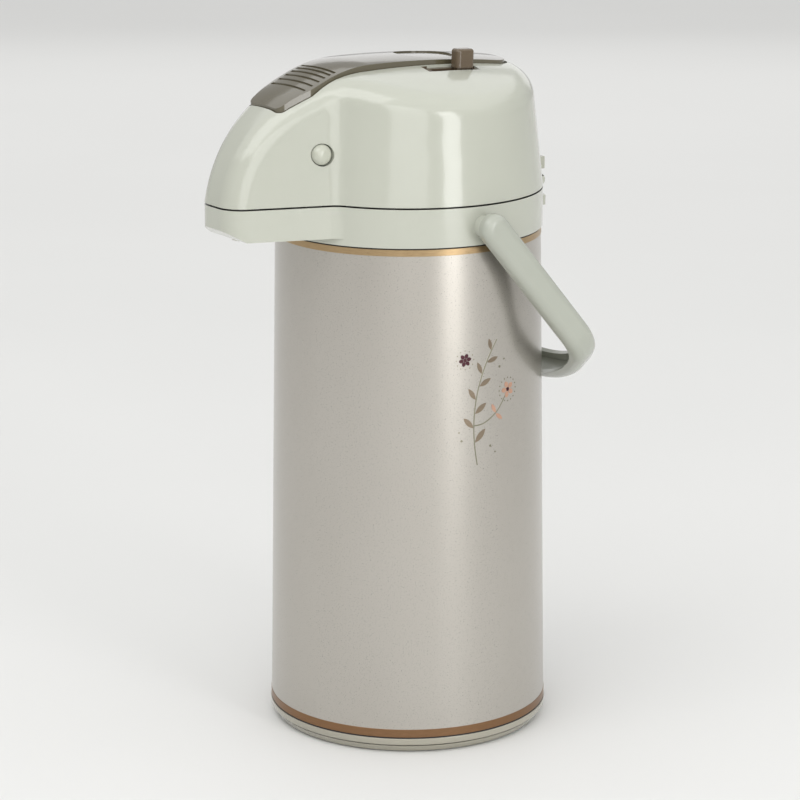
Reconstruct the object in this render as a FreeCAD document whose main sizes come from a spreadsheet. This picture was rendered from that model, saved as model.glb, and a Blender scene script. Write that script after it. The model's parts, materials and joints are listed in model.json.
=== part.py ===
import FreeCAD, Part
import math
import os

import Sketcher

# An airpot: a glass-lined vacuum flask in a steel sleeve, with a beaked plastic
# head that holds a hand pump. The spout points along -Y, +X is the side of the
# lock knob, +Z is up, and the origin is on the flask's axis at the floor.

V = FreeCAD.Vector

# The driving dimensions, in millimetres, and in degrees where the name says so.
SIZES = {
    # clearances
    "seam": 0.9,
    "running_fit": 0.05,
    "slip_fit": 0.1,
    "loose_fit": 0.3,
    "plate_gap": 0.9,
    "plate_rear_gap": 2.0,
    # foot
    "pad_height": 0.8,
    "pad_radius": 7.0,
    "pad_circle": 62.0,
    "pad_count": 4,
    "foot_radius": 78.6,
    "foot_edge_radius": 80.8,
    "foot_edge_level": 4.4,
    "foot_web": 2.4,
    "track_radius": 72.5,
    "track_width": 3.0,
    "track_level": 4.8,
    "hub_radius": 13.0,
    "spigot_radius": 6.0,
    "hub_shelf": 2.5,
    "foot_screw_head": 9.0,
    "foot_screw_head_height": 1.2,
    "foot_screw_shank": 2.0,
    # bottom of the body
    "base_ring_radius": 82.1,
    "base_ring_edge_round": 0.35,
    "base_ring_underside": 4.9,
    "base_ring_wall": 2.2,
    "base_ring_rise": 15.0,
    "base_ledge_radius": 58.0,
    "base_ledge_level": 9.5,
    "base_ledge": 2.5,
    "base_shelf_radius": 68.0,
    "bottom_plate_thickness": 2.5,
    "base_screw_circle": 63.0,
    "base_screw_count": 4,
    "base_screw_shank": 1.4,
    "base_screw_head": 2.8,
    "base_screw_head_height": 1.6,
    "base_screw_reach": 4.0,
    # sleeve
    "sleeve_foot_radius": 81.6,
    "sleeve_top_radius": 76.8,
    "sleeve_foot_level": 9.0,
    "sleeve_engagement": 3.6,
    "sleeve_wall": 0.7,
    # glass liner
    "liner_radius": 71.5,
    "liner_foot_level": 24.0,
    "liner_shoulder_level": 262.0,
    "liner_shoulder_drop": 24.0,
    "liner_foot_corner": 26.0,
    "liner_shoulder_corner": 16.0,
    "neck_radius": 36.5,
    "neck_corner": 5.0,
    "lip_level": 293.0,
    "glass_wall": 2.2,
    "vacuum_gap": 2.0,
    "glass_tip_radius": 3.0,
    "cushion_radius": 44.0,
    "cushion_width": 14.0,
    # collar
    "collar_radius": 77.8,
    "collar_foot_level": 295.5,
    "parting_level": 317.75,
    "collar_wall": 2.8,
    "deck_top_level": 302.0,
    "beak_foot_level": 299.3,
    "deck_thickness": 2.8,
    "beak_chamfer_reach": 9.5,
    "beak_chamfer_rise": 6.0,
    "collar_hole_radius": 40.1,
    # plan of the beak
    "beak_reach": 128.5,
    "flank_distance": 54.6,
    "flank_degrees": 17.2,
    "junction_radius": 12.0,
    "shoulder_radius": 15.5,
    # mouth
    "packing_wall": 2.4,
    "packing_height": 3.5,
    "mouth_radius": 31.0,
    "mouth_flange_radius": 44.0,
    "mouth_flange": 3.0,
    "mouth_top_level": 311.0,
    "pipe_offset": 25.2,
    "pipe_radius": 4.0,
    "pipe_bore_radius": 3.0,
    "pipe_foot_level": 36.0,
    "pipe_boss_radius": 6.0,
    "pipe_seat_level": 303.0,
    "strainer_length": 12.0,
    "strainer_radius": 5.4,
    "spigot_level": 306.8,
    "spigot_bore_radius": 2.4,
    "spigot_wall": 1.0,
    "spigot_length": 12.0,
    "hose_wall": 1.2,
    "hose_length": 14.0,
    "nozzle_offset": 108.0,
    "nozzle_radius": 8.0,
    "nozzle_bore_radius": 5.6,
    "nozzle_top_level": 314.0,
    "nozzle_foot_level": 297.4,
    "nozzle_flange_radius": 10.0,
    "nozzle_flange": 1.6,
    # handle
    "pivot_level": 305.8,
    "handle_reach": 140.0,
    "handle_half_span": 93.5,
    "handle_thickness": 8.0,
    "handle_width": 17.4,
    "handle_wall": 2.4,
    "handle_bow_radius": 125.0,
    "handle_corner_radius": 30.0,
    "handle_edge_round": 5.4,
    "handle_rest_degrees": 40.3,
    "pivot_boss_radius": 6.6,
    "pivot_pin_radius": 4.0,
    "pivot_pin_start": 72.0,
    "pivot_pin_depth": 6.0,
    "handle_groove_start": 17.0,
    # hinge
    "hinge_offset": 81.5,
    "hinge_level": 315.2,
    "hinge_pin_radius": 1.5,
    "knuckle_radius": 3.4,
    "hinge_half_length": 17.0,
    "lid_knuckle_half_length": 8.0,
    "hinge_ear_foot": 311.8,
    "bracket_arm": 1.6,
    "bracket_top_level": 331.0,
    "stop_foot_level": 300.0,
    "stop_height": 6.0,
    "stop_half_width": 17.0,
    "stop_reach": 86.4,
    "detach_level": 321.5,
    "detach_height": 7.2,
    "detach_half_width": 16.0,
    "detach_reach": 85.2,
    "detach_stem_radius": 1.8,
    "detach_stem_side": 10.5,
    "detach_stem_length": 5.5,
    "detach_travel": 1.2,
    # lid
    "lid_wall": 2.6,
    "draft_degrees": 6.3,
    "nose_lean_degrees": 6.7,
    "nose_radius": 74.0,
    "brow_degrees": 26.0,
    "brow_length": 15.0,
    "crown_radius": 76.0,
    "crown_end_degrees": 3.0,
    "roof_radius": 600.0,
    "cross_crown_radius": 165.0,
    "lid_base_thickness": 2.6,
    "lid_base_lift": 0.6,
    "chamber_radius": 29.6,
    "chamber_wall": 1.8,
    "chamber_height": 18.0,
    "chamber_flange": 3.4,
    "lid_screw_count": 4,
    "lid_screw_shank": 1.4,
    "lid_screw_head": 2.8,
    "lid_screw_head_height": 1.8,
    "lid_post_radius": 3.6,
    "lid_post_height": 14.0,
    "lid_post_circle": 70.6,
    "lid_post_degrees": 40.0,
    "stopper_top_level": 316.0,
    "stopper_radius": 38.0,
    "stopper_thickness": 2.8,
    "stopper_plug_radius": 14.0,
    "stopper_plug_depth": 13.0,
    "stopper_plug_offset": 5.0,
    "air_bore_radius": 4.5,
    "gasket_width": 6.0,
    # pump
    "bellows_radius": 18.6,
    "bellows_depth": 4.0,
    "bellows_wall": 1.0,
    "bellows_folds": 6,
    "bellows_top_level": 371.0,
    "spring_radius": 12.0,
    "spring_wire": 0.8,
    "spring_turns": 7,
    "cap_thickness": 3.0,
    "cap_stem_radius": 11.0,
    "cap_apex_radius": 2.0,
    "cap_play": 0.5,
    "valve_radius": 7.0,
    "valve_stud_radius": 1.2,
    "valve_thickness": 1.4,
    # push plate
    "plate_thickness": 3.0,
    "plate_rise": 3.8,
    "plate_shift": 6.0,
    "plate_tilt_degrees": 1.4,
    "plate_tilt_reach": 60.0,
    "plate_front": 96.0,
    "plate_front_half_width": 16.2,
    "plate_half_width": 21.0,
    "plate_wide_start": 77.0,
    "plate_rear": 58.0,
    "plate_rear_corner": 12.0,
    "plate_front_corner": 5.0,
    "skirt_wall": 1.6,
    "skirt_front_level": 366.4,
    "skirt_rear_level": 361.8,
    "plate_pin_offset": 89.0,
    "plate_pin_level": 367.5,
    "plate_pin_radius": 1.5,
    "plate_pin_half_length": 20.6,
    "plate_boss_start": 19.1,
    "plate_lug_radius": 3.2,
    "plate_lug_offset": 8.0,
    "plate_lug_thickness": 3.0,
    "groove_first": 60.2,
    "groove_pitch": 2.9,
    "groove_spread": 0.2,
    "groove_count": 6,
    "groove_width": 1.8,
    "groove_depth": 0.9,
    "groove_half_length": 18.0,
    "dish_radius": 17.0,
    "dish_centre": 10.0,
    # lock knob
    "slot_offset": 29.2,
    "slot_front": 3.3,
    "slot_rear": 24.6,
    "slot_width": 4.4,
    "slot_recess_width": 9.6,
    "slot_recess_depth": 1.0,
    "slot_slope_degrees": 2.2,
    "slot_recess_front": 7.6,
    "knob_rest": 17.5,
    "knob_length": 12.0,
    "knob_width": 8.2,
    "knob_top_level": 398.3,
    "knob_round": 2.6,
    "knob_lift": 1.2,
    "knob_top_round": 1.8,
    "slot_floor_level": 386.56,
    "slider_foot_drop": 3.65,
    "slider_tab_reach": 7.0,
    "slider_foot_thickness": 1.6,
    "slider_foot_overhang": 2.4,
    # release buttons
    "button_forward": 76.0,
    "button_level": 346.1,
    "button_radius": 5.9,
    "button_dome_round": 4.6,
    "button_flange": 1.8,
    "button_foot_offset": 21.8,
    "button_reach": 11.8,
    "button_gap": 0.4,
    "button_travel": 3.0,
    "button_flange_overhang": 1.8,
    "hook_thickness": 2.4,
    "hook_width": 9.0,
    "hook_foot_level": 308.0,
    "hook_nose": 2.2,
    "hook_nose_height": 4.0,
    "striker_thickness": 2.0,
    "striker_length": 10.0,
    "striker_level": 312.5,
    "spring_post_offset": 10.9,
    "spring_post_thickness": 2.0,
    "spring_post_width": 10.0,
    "button_spring_radius": 3.2,
    "button_spring_wire": 0.5,
    "button_spring_turns": 5,
}

doc = FreeCAD.newDocument("Airpot")
sheet = doc.addObject("Spreadsheet::Sheet", "Sizes")
for row, (name, number) in enumerate(SIZES.items(), 1):
    sheet.set("A%d" % row, name)
    sheet.set("B%d" % row, str(number))
    sheet.setAlias("B%d" % row, name)
doc.recompute()


class Size:
    """A length that knows its number and the sheet expression it comes from."""

    def __init__(self, number, text):
        self.number = number
        self.text = text

    def __float__(self):
        return float(self.number)

    def join(self, other, sign, number, swap=False):
        other_text = other.text if isinstance(other, Size) else repr(float(other))
        pair = (other_text, self.text) if swap else (self.text, other_text)
        return Size(number, "(%s %s %s)" % (pair[0], sign, pair[1]))

    def __add__(self, other):
        return self.join(other, "+", float(self) + float(other))

    __radd__ = __add__

    def __sub__(self, other):
        return self.join(other, "-", float(self) - float(other))

    def __rsub__(self, other):
        return self.join(other, "-", float(other) - float(self), True)

    def __mul__(self, other):
        return self.join(other, "*", float(self) * float(other))

    __rmul__ = __mul__

    def __truediv__(self, other):
        return self.join(other, "/", float(self) / float(other))

    def __neg__(self):
        return 0.0 - self


class Sizes:
    """The named sizes, read back from the sheet."""

    def __init__(self):
        for name in SIZES:
            setattr(self, name, Size(float(sheet.get(name)), "Sizes." + name))


s = Sizes()


def bind(item, path, size):
    """Set one property of an object from a size, and keep it bound to the sheet."""
    item.setExpression(path, size.text if isinstance(size, Size) else repr(float(size)))


def place(item, x=0.0, y=0.0, z=0.0, axis=None, degrees=0.0):
    """Put an object at a bound place, turned about an axis."""
    turn = FreeCAD.Rotation(axis, degrees) if axis else FreeCAD.Rotation()
    item.Placement = FreeCAD.Placement(V(float(x), float(y), float(z)), turn)
    for letter, size in (("x", x), ("y", y), ("z", z)):
        bind(item, "Placement.Base." + letter, size)


ALONG_X = (V(0, 1, 0), 90)
ALONG_MINUS_Y = (V(1, 0, 0), 90)


def text_of(value):
    """The sheet expression of a size, or a plain number."""
    return value.text if isinstance(value, Size) else repr(float(value))


def root(value):
    return Size(math.sqrt(float(value)), "sqrt(%s)" % text_of(value))


def sine(degrees):
    return Size(math.sin(math.radians(float(degrees))), "sin(%s * 1 deg)" % text_of(degrees))


def cosine(degrees):
    return Size(math.cos(math.radians(float(degrees))), "cos(%s * 1 deg)" % text_of(degrees))


def tangent(degrees):
    return Size(math.tan(math.radians(float(degrees))), "tan(%s * 1 deg)" % text_of(degrees))


def origin_feature(body, role):
    """One of a body's own origin planes or axes."""
    return next(item for item in body.Origin.OriginFeatures if item.Role == role)


def new_body(label):
    body = doc.addObject("PartDesign::Body", label)
    body.Label = label
    return body


def new_sketch(body, name, role="XZ_Plane"):
    sketch = body.newObject("Sketcher::SketchObject", name)
    sketch.AttachmentSupport = (origin_feature(body, role), [""])
    sketch.MapMode = "FlatFace"
    return sketch


def rounded_corner(before, corner, after, radius):
    """Where a corner's arc starts and ends, with its centre, and whether it turns left."""
    back = (before[0] - corner[0], before[1] - corner[1])
    ahead = (after[0] - corner[0], after[1] - corner[1])
    back_length = math.hypot(*back)
    ahead_length = math.hypot(*ahead)
    back = (back[0] / back_length, back[1] / back_length)
    ahead = (ahead[0] / ahead_length, ahead[1] / ahead_length)
    half = math.acos(back[0] * ahead[0] + back[1] * ahead[1]) / 2
    reach = radius / math.tan(half)
    middle = (back[0] + ahead[0], back[1] + ahead[1])
    middle_length = math.hypot(*middle)
    distance = radius / math.sin(half)
    centre = (corner[0] + middle[0] / middle_length * distance,
              corner[1] + middle[1] / middle_length * distance)
    start = (corner[0] + back[0] * reach, corner[1] + back[1] * reach)
    end = (corner[0] + ahead[0] * reach, corner[1] + ahead[1] * reach)
    left = back[1] * ahead[0] - back[0] * ahead[1] > 0
    return start, end, centre, left


def draw(sketch, corners):
    """Draw a closed outline of straight lines, with an arc at each corner that has a radius."""
    count = len(corners)
    spots = [(float(corner[0]), float(corner[1])) for corner in corners]
    arcs = {}
    for i, corner in enumerate(corners):
        if len(corner) == 3:
            arcs[i] = rounded_corner(spots[i - 1], spots[i], spots[(i + 1) % count], float(corner[2]))
    shapes = []
    for i in range(count):
        start = arcs[i][1] if i in arcs else spots[i]
        following = (i + 1) % count
        end = arcs[following][0] if following in arcs else spots[following]
        shapes.append(Part.LineSegment(V(start[0], start[1], 0), V(end[0], end[1], 0)))
    for i, (start, end, centre, left) in arcs.items():
        circle = Part.Circle(V(centre[0], centre[1], 0), V(0, 0, 1), float(corners[i][2]))
        first, last = (start, end) if left else (end, start)
        angles = [math.atan2(spot[1] - centre[1], spot[0] - centre[0]) for spot in (first, last)]
        shapes.append(Part.ArcOfCircle(circle, angles[0], angles[1]))
    sketch.addGeometry(shapes, False)
    points = [Part.Point(V(spots[i][0], spots[i][1], 0)) for i in arcs]
    marks = sketch.addGeometry(points, True) if points else ()
    rules = []
    bound = []
    for i, corner in enumerate(corners):
        before = (i - 1) % count
        if i in arcs:
            arc = count + list(arcs).index(i)
            mark = marks[list(arcs).index(i)]
            left = arcs[i][3]
            enter, leave = (1, 2) if left else (2, 1)
            rules.append(Sketcher.Constraint("PointOnObject", mark, 1, before))
            rules.append(Sketcher.Constraint("PointOnObject", mark, 1, i))
            rules.append(Sketcher.Constraint("Tangent", before, 2, arc, enter))
            rules.append(Sketcher.Constraint("Tangent", arc, leave, i, 1))
            bound.append((len(rules), corner[2]))
            rules.append(Sketcher.Constraint("Radius", arc, float(corner[2])))
            target = (mark, 1)
        else:
            rules.append(Sketcher.Constraint("Coincident", before, 2, i, 1))
            target = (i, 1)
        bound.append((len(rules), corner[0]))
        rules.append(Sketcher.Constraint("DistanceX", -1, 1, target[0], target[1], spots[i][0]))
        bound.append((len(rules), corner[1]))
        rules.append(Sketcher.Constraint("DistanceY", -1, 1, target[0], target[1], spots[i][1]))
    sketch.addConstraint(rules)
    for index, size in bound:
        if isinstance(size, Size):
            sketch.setExpression("Constraints[%d]" % index, size.text)


def turned(label, corners):
    """A body turned about the Z axis from an outline of (radius, level) corners."""
    body = new_body(label)
    outline = new_sketch(body, label + "_outline")
    draw(outline, corners)
    turn = body.newObject("PartDesign::Revolution", label + "_turn")
    turn.Profile = outline
    turn.ReferenceAxis = (outline, ["V_Axis"])
    turn.Angle = 360.0
    body.Tip = turn
    return body


def barrel(body, name, radius, height, cut=False, **where):
    """Add a cylinder to a body, or cut one from it."""
    kind = "Subtractive" if cut else "Additive"
    feature = body.newObject("PartDesign::%sCylinder" % kind, name)
    feature.Radius = float(radius)
    feature.Height = float(height)
    bind(feature, "Radius", radius)
    bind(feature, "Height", height)
    place(feature, **where)
    return feature


def block(body, name, length, width, height, cut=False, **where):
    """Add a box to a body, or cut one from it; length is along X and width along Y."""
    kind = "Subtractive" if cut else "Additive"
    feature = body.newObject("PartDesign::%sBox" % kind, name)
    for path, size in (("Length", length), ("Width", width), ("Height", height)):
        setattr(feature, path, float(size))
        bind(feature, path, size)
    place(feature, **where)
    return feature


def repeat_round(body, name, features, count):
    """Repeat features evenly about the Z axis."""
    pattern = body.newObject("PartDesign::PolarPattern", name)
    pattern.Originals = features
    pattern.Axis = (origin_feature(body, "Z_Axis"), [""])
    pattern.Angle = 360.0
    pattern.Occurrences = int(float(count))
    bind(pattern, "Occurrences", count)
    body.Tip = pattern
    return pattern


def loose_body(label):
    """A body whose solids may lie apart, such as a set of screws."""
    body = new_body(label)
    body.AllowCompound = True
    return body


def shaped(label, shape):
    """A sub-part whose shape is set by Part's own functions."""
    item = doc.addObject("Part::Feature", label)
    item.Label = label
    item.Shape = shape
    return item


# Levels and radii that several pieces share.
lid_foot_level = s.parting_level + s.seam / 2
collar_top_level = s.parting_level - s.seam / 2
sleeve_top_level = s.collar_foot_level + s.sleeve_engagement
deck_foot_level = s.deck_top_level - s.deck_thickness
glass_thickness = s.glass_wall * 2 + s.vacuum_gap
ring_foot_level = s.lip_level + s.packing_height
stopper_foot_level = s.stopper_top_level - s.stopper_thickness
lid_base_level = lid_foot_level + s.lid_base_lift
lid_base_top = lid_base_level + s.lid_base_thickness
spigot_radius = s.spigot_bore_radius + s.spigot_wall

# The lid's centre line: nose arc, straight brow, crown arc and long roof arc. The
# crown meets the roof where that still slopes, ahead of the roof's highest spot.
nose_centre_reach = s.beak_reach - s.nose_radius * cosine(s.nose_lean_degrees)
nose_centre_level = lid_foot_level - s.nose_radius * sine(s.nose_lean_degrees)
brow_foot_reach = nose_centre_reach + s.nose_radius * sine(s.brow_degrees)
brow_foot_level = nose_centre_level + s.nose_radius * cosine(s.brow_degrees)
brow_head_reach = brow_foot_reach - s.brow_length * cosine(s.brow_degrees)
brow_head_level = brow_foot_level + s.brow_length * sine(s.brow_degrees)
crown_centre_reach = brow_head_reach - s.crown_radius * sine(s.brow_degrees)
crown_centre_level = brow_head_level - s.crown_radius * cosine(s.brow_degrees)
roof_drop = s.roof_radius - s.crown_radius
roof_reach = crown_centre_reach - roof_drop * sine(s.crown_end_degrees)
roof_centre_level = crown_centre_level - roof_drop * cosine(s.crown_end_degrees)
roof_top_level = roof_centre_level + s.roof_radius


def roof_level(reach):
    """Height of the lid's centre line behind the crown, where reach counts forwards."""
    run = reach - roof_reach
    return roof_centre_level + root(s.roof_radius * s.roof_radius - run * run)


# Foot: a plate that the whole flask turns on, with rubber pads under it.
hub_shelf_level = s.track_level - s.hub_shelf
screw_pocket_radius = s.foot_screw_head + s.loose_fit
swivel_base = turned("swivel_base", [
    (screw_pocket_radius, s.pad_height),
    (s.foot_radius, s.pad_height),
    (s.foot_edge_radius, s.foot_edge_level),
    (s.track_radius + s.track_width / 2, s.foot_edge_level),
    (s.track_radius + s.track_width / 2, s.track_level),
    (s.track_radius - s.track_width / 2, s.track_level),
    (s.track_radius - s.track_width / 2, s.pad_height + s.foot_web),
    (s.hub_radius, s.pad_height + s.foot_web),
    (s.hub_radius, s.track_level),
    (s.spigot_radius + s.running_fit, s.track_level),
    (s.spigot_radius + s.running_fit, hub_shelf_level),
    (screw_pocket_radius, hub_shelf_level),
])

foot_pads = loose_body("foot_pads")
pad = barrel(foot_pads, "pad", s.pad_radius, s.pad_height, x=s.pad_circle)
repeat_round(foot_pads, "pads_round", [pad], s.pad_count)

foot_screw_head_top = hub_shelf_level - s.slip_fit
foot_screw = turned("foot_screw", [
    (0, foot_screw_head_top - s.foot_screw_head_height),
    (s.foot_screw_head, foot_screw_head_top - s.foot_screw_head_height),
    (s.foot_screw_head, foot_screw_head_top),
    (s.foot_screw_shank, foot_screw_head_top),
    (s.foot_screw_shank, s.base_ledge_level),
    (0, s.base_ledge_level),
])

# Bottom of the body: the ring that carries the sleeve, and the plate screwed under it.
base_ring_bore = s.sleeve_foot_radius - s.sleeve_wall - s.loose_fit
base_ring = turned("base_ring", [
    (s.base_shelf_radius, s.base_ring_underside),
    (s.base_ring_radius, s.base_ring_underside, s.base_ring_edge_round * 4),
    (s.base_ring_radius, s.sleeve_foot_level, s.base_ring_edge_round),
    (base_ring_bore, s.sleeve_foot_level),
    (base_ring_bore, s.sleeve_foot_level + s.base_ring_rise),
    (base_ring_bore - s.base_ring_wall, s.sleeve_foot_level + s.base_ring_rise),
    (base_ring_bore - s.base_ring_wall, s.base_ledge_level + s.base_ledge),
    (s.base_ledge_radius, s.base_ledge_level + s.base_ledge),
    (s.base_ledge_radius, s.base_ledge_level),
    (s.base_shelf_radius, s.base_ledge_level),
])
screw_hole = barrel(base_ring, "base_ring_screw_hole", s.base_screw_shank + s.slip_fit,
                    s.base_ledge, cut=True, x=s.base_screw_circle, z=s.base_ledge_level)
repeat_round(base_ring, "base_ring_screw_holes", [screw_hole], s.base_screw_count)

bottom_plate_foot = s.base_ledge_level - s.bottom_plate_thickness
bottom_plate = turned("bottom_plate", [
    (s.foot_screw_shank + s.slip_fit, foot_screw_head_top),
    (s.spigot_radius, foot_screw_head_top),
    (s.spigot_radius, bottom_plate_foot),
    (s.base_shelf_radius - s.loose_fit, bottom_plate_foot),
    (s.base_shelf_radius - s.loose_fit, s.base_ledge_level),
    (s.foot_screw_shank + s.slip_fit, s.base_ledge_level),
])
screw_hole = barrel(bottom_plate, "bottom_plate_screw_hole", s.base_screw_shank + s.slip_fit,
                    s.bottom_plate_thickness, cut=True, x=s.base_screw_circle, z=bottom_plate_foot)
repeat_round(bottom_plate, "bottom_plate_screw_holes", [screw_hole], s.base_screw_count)

base_screws = loose_body("base_screws")
screw_shank = barrel(base_screws, "base_screw_shank", s.base_screw_shank, s.base_screw_reach,
                     x=s.base_screw_circle, z=bottom_plate_foot)
screw_head = barrel(base_screws, "base_screw_head", s.base_screw_head, s.base_screw_head_height,
                    x=s.base_screw_circle, z=bottom_plate_foot - s.base_screw_head_height)
repeat_round(base_screws, "base_screws_round", [screw_shank, screw_head], s.base_screw_count)

# Sleeve: thin painted steel, slightly narrower at the top.
body_sleeve = turned("body_sleeve", [
    (s.sleeve_foot_radius - s.sleeve_wall, s.sleeve_foot_level),
    (s.sleeve_foot_radius, s.sleeve_foot_level),
    (s.sleeve_top_radius, sleeve_top_level),
    (s.sleeve_top_radius - s.sleeve_wall, sleeve_top_level),
])


# Glass liner: one double-walled bottle with a sealed vacuum between its walls.
def liner_line(depth):
    """The liner's outer line moved inwards: foot corner, shoulder corner and neck corner."""
    rise = s.liner_shoulder_drop / (s.liner_radius - s.neck_radius)
    slip = (root(rise * rise + 1) - rise) * depth
    return [
        (s.liner_radius - depth, s.liner_foot_level + depth, s.liner_foot_corner - depth),
        (s.liner_radius - depth, s.liner_shoulder_level - slip, s.liner_shoulder_corner - depth),
        (s.neck_radius - depth, s.liner_shoulder_level + s.liner_shoulder_drop - slip,
         s.neck_corner + depth),
    ]


def liner_outline(outer, inner, top, middle, mouth_round=None):
    """Corners of the wall between two depths, from a middle radius up to a top level."""
    ends = [(s.neck_radius - outer, top), (s.neck_radius - inner, top)]
    if mouth_round:
        ends = [end + (mouth_round,) for end in ends]
    return ([(middle, s.liner_foot_level + outer)] + liner_line(outer) + ends
            + liner_line(inner)[::-1] + [(middle, s.liner_foot_level + inner)])


lip_round = s.glass_wall * 0.7
glass_liner = turned("glass_liner", liner_outline(s.glass_wall * 0, glass_thickness, s.lip_level,
                                                  0, lip_round))
vacuum_outline = new_sketch(glass_liner, "vacuum_outline")
draw(vacuum_outline, liner_outline(s.glass_wall, s.glass_wall + s.vacuum_gap,
                                   s.lip_level - s.glass_wall * 1.4, s.glass_tip_radius))
vacuum = glass_liner.newObject("PartDesign::Groove", "vacuum")
vacuum.Profile = vacuum_outline
vacuum.ReferenceAxis = (vacuum_outline, ["V_Axis"])
vacuum.Angle = 360.0
glass_liner.Tip = vacuum

liner_cushion = turned("liner_cushion", [
    (s.cushion_radius - s.cushion_width, s.base_ledge_level),
    (s.cushion_radius, s.base_ledge_level),
    (s.cushion_radius, s.liner_foot_level),
    (s.cushion_radius - s.cushion_width, s.liner_foot_level),
])

neck_packing = turned("neck_packing", [
    (s.mouth_radius, s.lip_level),
    (s.neck_radius + s.slip_fit, s.lip_level),
    (s.neck_radius + s.slip_fit, s.lip_level - s.packing_height),
    (s.neck_radius + s.slip_fit + s.packing_wall, s.lip_level - s.packing_height),
    (s.neck_radius + s.slip_fit + s.packing_wall, ring_foot_level),
    (s.mouth_radius, ring_foot_level),
])

# Mouth: a plastic ring over the neck that holds the suction pipe and its outlet spigot.
ring_wall_radius = s.collar_hole_radius - s.slip_fit
mouth_ring = turned("mouth_ring", [
    (s.mouth_radius, ring_foot_level),
    (ring_wall_radius, ring_foot_level),
    (ring_wall_radius, s.deck_top_level),
    (s.mouth_flange_radius, s.deck_top_level),
    (s.mouth_flange_radius, s.deck_top_level + s.mouth_flange),
    (ring_wall_radius, s.deck_top_level + s.mouth_flange),
    (ring_wall_radius, s.mouth_top_level),
    (s.mouth_radius, s.mouth_top_level),
])
boss_height = s.mouth_top_level - deck_foot_level
barrel(mouth_ring, "pipe_boss", s.pipe_boss_radius, boss_height, y=-s.pipe_offset, z=deck_foot_level)
block(mouth_ring, "pipe_boss_web", s.pipe_boss_radius * 1.6, s.mouth_radius + 2 - s.pipe_offset, boss_height,
      x=s.pipe_boss_radius * -0.8, y=-(s.mouth_radius + 2), z=deck_foot_level)
barrel(mouth_ring, "outlet_spigot", spigot_radius, s.spigot_length, x=0,
       y=-(ring_wall_radius - 2), z=s.spigot_level, axis=V(1, 0, 0), degrees=90)
barrel(mouth_ring, "pipe_socket", s.pipe_radius + s.slip_fit, s.pipe_seat_level - deck_foot_level, cut=True,
       y=-s.pipe_offset, z=deck_foot_level)
barrel(mouth_ring, "pipe_chamber", s.pipe_bore_radius,
       s.spigot_level + s.spigot_bore_radius + s.loose_fit * 2 - s.pipe_seat_level, cut=True,
       y=-s.pipe_offset, z=s.pipe_seat_level)
spigot_end = ring_wall_radius - 2 + s.spigot_length
outlet_bore = barrel(mouth_ring, "outlet_bore", s.spigot_bore_radius, spigot_end - s.pipe_offset, cut=True,
                     y=-s.pipe_offset, z=s.spigot_level, axis=V(1, 0, 0), degrees=90)
mouth_ring.Tip = outlet_bore

suction_pipe = turned("suction_pipe", [
    (s.pipe_bore_radius, s.pipe_foot_level),
    (s.pipe_radius, s.pipe_foot_level),
    (s.pipe_radius, s.pipe_seat_level),
    (s.pipe_bore_radius, s.pipe_seat_level),
])
place(suction_pipe, y=-s.pipe_offset)

strainer_foot_level = s.liner_foot_level + glass_thickness + s.loose_fit
pipe_strainer = turned("pipe_strainer", [
    (s.pipe_radius + s.running_fit, strainer_foot_level),
    (s.strainer_radius, strainer_foot_level),
    (s.strainer_radius, strainer_foot_level + s.strainer_length),
    (s.pipe_radius + s.running_fit, strainer_foot_level + s.strainer_length),
])
notch_height = s.pipe_foot_level - strainer_foot_level - 1
strainer_notches = block(pipe_strainer, "strainer_notches", s.pipe_radius, s.strainer_radius * 3,
                         notch_height, cut=True, x=s.pipe_radius / -2, y=s.strainer_radius * -1.5, z=strainer_foot_level)
pipe_strainer.Tip = strainer_notches
place(pipe_strainer, y=-s.pipe_offset)


def tube_along_beak(label, bore, wall_radius, start, length):
    """A straight tube that runs towards the spout at the outlet's height."""
    body = turned(label, [(bore, 0), (wall_radius, 0), (wall_radius, length), (bore, length)])
    place(body, y=-start, z=s.spigot_level, axis=V(1, 0, 0), degrees=90)
    return body


hose_start = s.mouth_flange_radius + s.slip_fit
hose_bore = spigot_radius + s.running_fit
joint_hose = tube_along_beak("joint_hose", hose_bore, hose_bore + s.hose_wall, hose_start, s.hose_length)
socket_depth = s.nozzle_radius * 0.6
outlet_start = spigot_end + s.loose_fit
outlet_end = s.nozzle_offset - s.nozzle_radius + socket_depth * 0.5
outlet_pipe = tube_along_beak("outlet_pipe", s.spigot_bore_radius, spigot_radius, outlet_start,
                              outlet_end - outlet_start)

nozzle_bore_top = s.spigot_level + s.spigot_bore_radius + 1
spout_nozzle = turned("spout_nozzle", [
    (0, nozzle_bore_top),
    (s.nozzle_bore_radius, nozzle_bore_top),
    (s.nozzle_bore_radius, s.nozzle_foot_level),
    (s.nozzle_radius, s.nozzle_foot_level),
    (s.nozzle_radius, s.deck_top_level),
    (s.nozzle_flange_radius, s.deck_top_level),
    (s.nozzle_flange_radius, s.deck_top_level + s.nozzle_flange),
    (s.nozzle_radius, s.deck_top_level + s.nozzle_flange),
    (s.nozzle_radius, s.nozzle_top_level),
    (0, s.nozzle_top_level),
])
pipe_hole_depth = s.nozzle_radius + 1 - s.nozzle_bore_radius + socket_depth
barrel(spout_nozzle, "nozzle_socket", spigot_radius + s.spigot_wall,
       socket_depth + s.nozzle_radius - s.nozzle_bore_radius,
       y=socket_depth + s.nozzle_radius, z=s.spigot_level, axis=V(1, 0, 0), degrees=90)
nozzle_inlet = barrel(spout_nozzle, "nozzle_inlet", spigot_radius + s.running_fit, pipe_hole_depth, cut=True,
                      y=s.nozzle_radius + socket_depth, z=s.spigot_level, axis=V(1, 0, 0), degrees=90)
spout_nozzle.Tip = nozzle_inlet
place(spout_nozzle, y=-s.nozzle_offset)


class Numbers:
    """The same sizes as plain numbers, for the shapes that are made directly."""

    def __init__(self):
        for name in SIZES:
            setattr(self, name, float(sheet.get(name)))


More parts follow.
